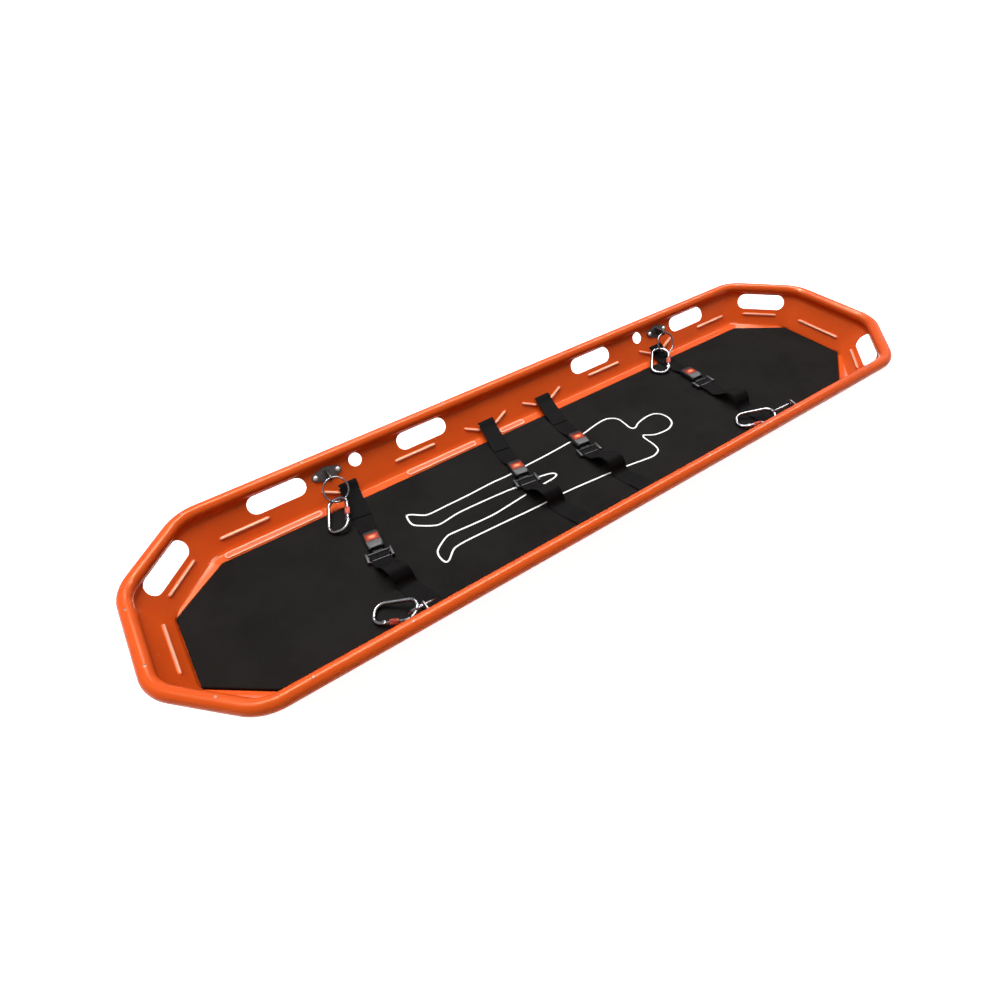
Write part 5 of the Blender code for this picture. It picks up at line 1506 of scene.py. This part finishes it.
def sleeve_shape():
    """The knurled locking sleeve: ridges along a hollow nut with chamfered ends."""
    count = SLEEVE_TEETH * 4
    outside = [(x, SLEEVE_RADIUS - step, knurled) for x, step, knurled in SLEEVE_SECTION]
    bore = GATE_ROD + GAP
    rings = []
    for x, radius, knurled in [(0.0, bore, 0), *outside, (SLEEVE_LENGTH, bore, 0)]:
        dips = [KNURL_DEPTH if knurled and k % 4 in (0, 1) else 0.0 for k in range(count)]
        angles = [2 * pi * k / count for k in range(count)]
        rings.append([(x, (radius - dip) * cos(a), (radius - dip) * sin(a)) for dip, a in zip(dips, angles)])
    return loft(rings, closed=True)


# Settings that a user would change

def colour_setting(name, description, code):
    """A colour, its default given as an sRGB hex value."""
    return FloatVectorProperty(name=name, description=description, subtype="COLOR", size=3, min=0.0, max=1.0,
                               default=linear(code))


def length_setting(name, description, default):
    """A length in metres."""
    return FloatProperty(name=name, description=description, unit="LENGTH", default=default)


def angle_setting(name, description, degrees):
    """An angle, its default given in degrees."""
    return FloatProperty(name=name, description=description, subtype="ANGLE", default=radians(degrees))


class ShellSettings(bpy.types.PropertyGroup):
    colour: colour_setting("Shell colour", "Colour of the moulded sheet", "de551a")
    rivet_radius: length_setting("Rivet radius", "Radius of the rim's rivet heads", 0.0034)
    rivet_height: length_setting("Rivet height", "How far a rivet head stands out", 0.0005)


class MatSettings(bpy.types.PropertyGroup):
    colour: colour_setting("Mat colour", "Colour of the foam's coated face", "1b1a19")
    ink: colour_setting("Ink colour", "Colour of the printed body outline", "f4f2f0")
    edge: length_setting("Mat edge", "Radius of the mat's upper edge", 0.003)
    line_width: length_setting("Line width", "Width of the printed line", 0.0043)


class StrapSettings(bpy.types.PropertyGroup):
    colour: colour_setting("Webbing colour", "Colour of the woven straps", "151415")
    case: colour_setting("Case colour", "Colour of the buckle's case", "1a1a1c")
    face: colour_setting("Face colour", "Colour of the buckle's grey face", "58585a")
    button: colour_setting("Button colour", "Colour of the release button", "c43a1a")


class LiftSettings(bpy.types.PropertyGroup):
    sleeve: colour_setting("Sleeve colour", "Colour of the locking sleeves", "8a3020")


class StageSettings(bpy.types.PropertyGroup):
    distance: length_setting("Camera distance", "From the camera to its target", 1.49963)
    azimuth: angle_setting("Camera azimuth", "Turn of the camera about the upright", -31.690771)
    elevation: angle_setting("Camera elevation", "Height of the camera as an angle", 44.086669)
    roll: angle_setting("Camera roll", "Turn of the picture", -3.57935)
    target: FloatVectorProperty(
        name="Camera target", description="Point that the camera looks at", subtype="TRANSLATION", size=3,
        default=(-0.2732, -0.0775, 0.1145))
    lens: FloatProperty(name="Lens", description="Focal length on a 36 mm sensor", default=22.74)
    ambient: FloatProperty(name="Ambient", description="Even light from all round", default=0.21)
    softbox: FloatProperty(
        name="Softbox", description="Power of the wide light above, in watts", default=40.0)
    strip: FloatProperty(
        name="Strips", description="Power of the main narrow light that only gloss shows, in watts",
        default=220.0)


# Operators, one for each piece or group of like pieces

class STRETCHER_OT_shell(bpy.types.Operator):
    """Build the moulded shell with its beads, pads, runners and openings"""
    bl_idname = "stretcher.shell"
    bl_label = "Shell"

    def execute(self, context):
        sheet = moulded_polyethylene(context.scene.stretcher_shell.colour)
        mesh = carved("shell", shell_skin(),
                      ("UNION", runners(0, 0, FLOOR_TOP - SHEET / 2, RUNNER_SOFT)),
                      ("DIFFERENCE", runners(SHEET, SHEET, FLOOR_TOP + SHEET, TROUGH_SOFT)),
                      ("UNION", merge(wall_beads() + band_pads())),
                      ("DIFFERENCE", merge(wall_cutters())))
        mark_raised(mesh)
        shell = add_piece("moulded_shell", mesh, sheet, BODY, 40, ["shell"])
        weigh_normals(shell)
        return {"FINISHED"}


class STRETCHER_OT_rim(bpy.types.Operator):
    """Finish the rim tube and set the rivets that pin the rolled sheet to it"""
    bl_idname = "stretcher.rim"
    bl_label = "Rim tube and rivets"

    def execute(self, context):
        settings = context.scene.stretcher_shell
        materials = frame["nodes"]["rim_tube"].data.materials
        materials.clear()
        materials.append(drawn_aluminium())
        heads = []
        for x, y, angle in RIVETS:
            point, normal = rim_point(x, y, radians(angle))
            turn = normal.to_track_quat("Z", "Y").to_matrix().to_4x4()
            heads.append((rivet(settings.rivet_radius, settings.rivet_height), shift(*point) @ turn))
        satin = zinc_plate("rivet_satin", linear("7c5a4c"), linear("5e4034"), 0.55)
        add_piece("rim_rivets", merge(heads), satin, BODY, 50)
        return {"FINISHED"}


class STRETCHER_OT_mat(bpy.types.Operator):
    """Build the foam mat and the body outline printed on it"""
    bl_idname = "stretcher.mat"
    bl_label = "Mat"

    def execute(self, context):
        settings = context.scene.stretcher_mat
        foam = coated_foam(settings.colour)
        mat = add_piece("foam_mat", mat_shape(settings.edge), foam, BODY, 60, ["mat"])
        ink = screen_ink(settings.ink, settings.colour)
        add_piece("body_outline", outline_strip(settings.line_width), ink, BODY, 60)
        return {"FINISHED"}


class STRETCHER_OT_webbing(bpy.types.Operator):
    """Build the four straps of webbing, their stitching and their keeper bars"""
    bl_idname = "stretcher.webbing"
    bl_label = "Webbing"

    def execute(self, context):
        polyester = woven_polyester(context.scene.stretcher_strap.colour)
        steel = phosphated_steel()
        for strap in STRAPS:
            add_piece("webbing_back_strap_%d" % strap, webbing_shape(back_route(strap)), polyester, BODY,
                      50, ["webbing_back_%d" % strap])
            front = add_piece("webbing_front_strap_%d" % strap, webbing_shape(front_route(strap)), polyester,
                              None, 50, ["webbing_front_%d" % strap])
            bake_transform(front)
            self.sew(strap, polyester)
            for word, index, direction in (("back", BACK, 1), ("front", FRONT, -1)):
                node = "keeper_%s_%d" % (word, strap)
                low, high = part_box(node)
                half = (high.x - low.x) / 2
                bar = rod_between((-half, 0, 0), (half, 0, 0), KEEPER_RADIUS, 20, EDGE["keeper"])
                place = panel(index) @ shift(direction * strap_x(strap), SLOT_T, -KEEPER_DEPTH)
                add_piece("keeper_bar_%s_%d" % (word, strap), bar, steel, BODY, 35, [node],
                          place)
        return {"FINISHED"}

    @staticmethod
    def sew(strap, thread):
        """Box stitching over the sewn tails, or one line where only the tail's end shows."""
        top = WEB_ON_MAT + WEB_PITCH + WEB_THICKNESS / 2
        tail = BACK_TAIL - HARDWARE_BACK[strap]
        if strap in BOX_START:
            back = box_stitch(BOX_START[strap], tail - BOX_MARGIN)
        else:
            back = [((tail - LINE_MARGIN, -BOX_HALF), (tail - LINE_MARGIN, BOX_HALF))]
        full = 2 * SLOT_BACK.y / cos(strap_yaw(strap))
        front = box_stitch(full - FRONT_BOX_END, full - FRONT_TAIL + BOX_MARGIN)
        stitches = stitch_rows(strap, back, top) + stitch_rows(strap, front, top)
        add_piece("stitching_%d" % strap, merge(stitches), thread, BODY, 60)


class STRETCHER_OT_buckles(bpy.types.Operator):
    """Build the buckles, release buttons, tongues with their adjusters, and bars"""
    bl_idname = "stretcher.buckles"
    bl_label = "Buckles"

    def execute(self, context):
        settings = context.scene.stretcher_strap
        case = acetal_case(settings.case)
        grey = grey_acetal(settings.face)
        red = button_abs(settings.button)
        dark_red = acetal_case(shaded(settings.button, 0.22))
        lacquer = black_lacquer(linear("242427"))
        # Lighter metal for the lips: worn steel, and painted highlights along the adjuster's edges
        worn = zinc_plate("worn_lip", linear("4a4a4d"), linear("2e2e31"))
        start, end = BUTTON
        window = (BUTTON_SIZE[0] / 2 + GAP, start - GAP, end + GAP)
        for strap in STRAPS:
            self.place_all(strap, BODY, (
                ("buckle_case", buckle_case(), case, "buckle_plastic", "buckle_body"),
                ("buckle_face", buckle_inlay(FACE_HALF, *FACE_SPAN, FACE_TIP), grey, "buckle_plastic", None),
                ("button_surround", buckle_inlay(SURROUND_HALF, *SURROUND_SPAN, 0.0, window), dark_red,
                 "button_red", None)))
            # The button's origin is in the middle of its face, where its material paints the pale highlight
            node = "release_button_%d" % strap
            button = add_piece("press_button_%d" % strap, button_shape(), red, None, 40)
            button.matrix_world = strap_frame(strap) @ shift(0, -(start + end) / 2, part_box(node)[1].z)
            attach(button, "button_%d" % strap)
            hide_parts(node)
            self.place_all(strap, "tongue_%d" % strap, (
                ("adjuster", adjuster_mesh(), lacquer, "black_steel", "tongue"),
                ("adjuster_lips", adjuster_lips(), worn, "bright_steel", None),
                ("webbing_bar", bar_shape(BAR_RADIUS, EDGE["bar"]), lacquer, "black_steel", "adjuster_bar")))
        return {"FINISHED"}

    @staticmethod
    def place_all(strap, body, pieces):
        """Pieces of one strap on one body, each with the node it stands for, if any, and a slot that is not
        used.
        """
        for name, shape, material, slot, node in pieces:
            nodes = ["%s_%d" % (node, strap)] if node else ()
            add_piece("%s_%d" % (name, strap), shape, material, body, 40, nodes, strap_frame(strap))


class STRETCHER_OT_lifting_points(bpy.types.Operator):
    """Build the anchors, bolts, rings and screw-gate carabiners"""
    bl_idname = "stretcher.lifting_points"
    bl_label = "Lifting points"

    def execute(self, context):
        plate_steel = zinc_plate("anchor_zinc", linear("5a5553"), linear("343130"))
        bolt_steel = zinc_plate("bolt_zinc", linear("c4c1be"), linear("95918e"))
        polished = polished_steel()
        red = anodised_sleeve(context.scene.stretcher_lift.sleeve)
        for name in POINTS:
            wall, clip = (anchor_frame(name), carabiner_frame(name))
            pin, nut = (clip @ shift(x, GATE_Y) for x in (PIN_X, SLEEVE_X))
            ring, carabiner, gate, sleeve = ("%s_%s" % (word, name) for word in
                                             ("ring", "carabiner", "gate", "sleeve"))
            for word, shape, material, body, slot, sharp, node, place in (
                    ("anchor_plate", anchor_mesh(), plate_steel, BODY, "plate_steel", 35, "anchor", wall),
                    ("bolts", bolts_shape(), bolt_steel, BODY, "bright_steel", 35, "anchor_bolts", wall),
                    ("round_ring", ring_shape(name), polished, ring, "bright_steel", 60, "ring", None),
                    ("carabiner_body", carabiner_mesh(), polished, carabiner, "bright_steel", 40,
                     "carabiner", clip),
                    ("carabiner_gate", gate_mesh(), polished, gate, "bright_steel", 40, "gate", pin),
                    ("screw_sleeve", sleeve_shape(), red, sleeve, "sleeve_red", 30, "locking_sleeve", nut)):
                add_piece("%s_%s" % (word, name), shape, material, body, sharp,
                          ["%s_%s" % (node, name)], place)
        return {"FINISHED"}


class STRETCHER_OT_stage(bpy.types.Operator):
    """Set the camera, the pale floor, the world and the lights"""
    bl_idname = "stretcher.stage"
    bl_label = "Stage"

    def execute(self, context):
        settings = context.scene.stretcher_stage
        self.set_camera(context.scene, settings)
        self.set_world(context.scene, settings)
        self.set_floor()
        self.set_lights(settings)
        context.scene.view_settings.view_transform = "Standard"
        return {"FINISHED"}

    @staticmethod
    def set_camera(scene, settings):
        """A camera at the photo's viewing angle, turned a little about its own axis."""
        azimuth, elevation, roll = (settings.azimuth, settings.elevation, settings.roll)
        back = Vector((sin(azimuth) * cos(elevation), -cos(azimuth) * cos(elevation), sin(elevation)))
        right = (-back).cross(Vector((0, 0, 1))).normalized()
        up = right.cross(-back)
        data = bpy.data.cameras.new("camera")
        data.sensor_width = 36.0
        data.lens = settings.lens
        data.clip_start = 0.05
        camera = link_new("camera", data)
        rolled_right = right * cos(roll) + up * sin(roll)
        rolled_up = up * cos(roll) - right * sin(roll)
        place = Vector(settings.target) + back * settings.distance
        camera.matrix_world = axes_matrix(rolled_right, rolled_up, back, place)
        scene.camera = camera

    @staticmethod
    def where_seen(tree, unseen, seen):
        """One value for rays that see the surface itself, from the camera, in gloss or through glass."""
        direct = add_node(tree, "LightPath", "Is Camera Ray")
        for kind in ("Is Glossy Ray", "Is Transmission Ray"):
            ray = add_node(tree, "LightPath", kind)
            direct = add_node(tree, "Math", Value=direct, Value_001=ray, operation="MAXIMUM")
        return add_node(tree, "MapRange", Value=direct, To_Min=unseen, To_Max=seen)

    def set_world(self, scene, settings):
        """Even white light, and a white background where it is seen."""
        world = bpy.data.worlds.new("studio")
        world.use_nodes = True
        tree = world.node_tree
        ground = tree.nodes["Background"]
        fill(tree, ground.inputs["Color"], (1, 1, 1))
        fill(tree, ground.inputs["Strength"], self.where_seen(tree, settings.ambient, 1.0))
        scene.world = world

    def set_floor(self):
        """A pale floor that is white where it is seen, and still takes the object's shadow."""
        material = bpy.data.materials.new("pale_floor")
        material.use_nodes = True
        tree = material.node_tree
        tree.nodes.remove(tree.nodes["Principled BSDF"])
        matt = add_node(tree, "BsdfDiffuse", Color=linear("e6e6e6"))
        glow = add_node(tree, "Emission", Color=(1, 1, 1), Strength=self.where_seen(tree, 0.0, FLOOR_GLOW))
        both = add_node(tree, "AddShader", Shader=matt, Shader_001=glow)
        fill(tree, tree.nodes["Material Output"].inputs["Surface"], both)
        shape = bmesh.new()
        bmesh.ops.create_grid(shape, x_segments=1, y_segments=1, size=FLOOR_HALF)
        floor = link_new("floor", as_mesh("floor", shape))
        floor.data.materials.append(material)
        floor.location.z = -FLOOR_DROP

    @staticmethod
    def set_lights(settings):
        """A wide softbox above the far side, and strips beyond it that only the highlights show."""
        lamps = [("softbox", *SOFTBOX, settings.softbox, 0.0)]
        for x, y, length, share in STRIPS:
            power = settings.strip * share * length / STRIPS[0][2]
            lamps.append(("strip", (x, y, STRIP_HEIGHT), (length, STRIP_WIDTH), power, x))
        for name, place, size, power, aim_x in lamps:
            data = bpy.data.lights.new(name, "AREA")
            data.shape = "RECTANGLE"
            data.size, data.size_y = size
            data.energy = power
            data.spread = SOFTBOX_SPREAD if name == "softbox" else pi
            light = link_new(name, data)
            light.location = place
            light.rotation_euler = (Vector((aim_x, 0, 0)) - Vector(place)).to_track_quat("-Z", "Y").to_euler()
            light.visible_diffuse = name == "softbox"


SETTINGS = (("stretcher_shell", ShellSettings), ("stretcher_mat", MatSettings),
            ("stretcher_strap", StrapSettings), ("stretcher_lift", LiftSettings),
            ("stretcher_stage", StageSettings))
OPERATORS = (STRETCHER_OT_shell, STRETCHER_OT_rim, STRETCHER_OT_mat, STRETCHER_OT_webbing,
             STRETCHER_OT_buckles, STRETCHER_OT_lifting_points, STRETCHER_OT_stage)


class STRETCHER_PT_panel(bpy.types.Panel):
    """Lists the pieces and their settings in the 3D view's sidebar"""
    bl_idname = "STRETCHER_PT_panel"
    bl_label = "Stretcher"
    bl_space_type = "VIEW_3D"
    bl_region_type = "UI"
    bl_category = "Stretcher"

    def draw(self, context):
        for operator in OPERATORS:
            self.layout.operator(operator.bl_idname)
        for key, group in SETTINGS:
            box = self.layout.box()
            for name in group.__annotations__:
                box.prop(getattr(context.scene, key), name)


def register():
    for key, group in SETTINGS:
        bpy.utils.register_class(group)
        setattr(bpy.types.Scene, key, PointerProperty(type=group))
    for item in OPERATORS + (STRETCHER_PT_panel, ):
        bpy.utils.register_class(item)


def unregister():
    for item in (STRETCHER_PT_panel, ) + OPERATORS[::-1]:
        bpy.utils.unregister_class(item)
    for key, group in SETTINGS[::-1]:
        delattr(bpy.types.Scene, key)
        bpy.utils.unregister_class(group)


def main():
    register()
    bpy.ops.stretcher.shell()
    bpy.ops.stretcher.rim()
    bpy.ops.stretcher.mat()
    bpy.ops.stretcher.webbing()
    bpy.ops.stretcher.buckles()
    bpy.ops.stretcher.lifting_points()
    bpy.ops.stretcher.stage()
    bpy.context.view_layer.update()


if __name__ == "__main__":
    main()
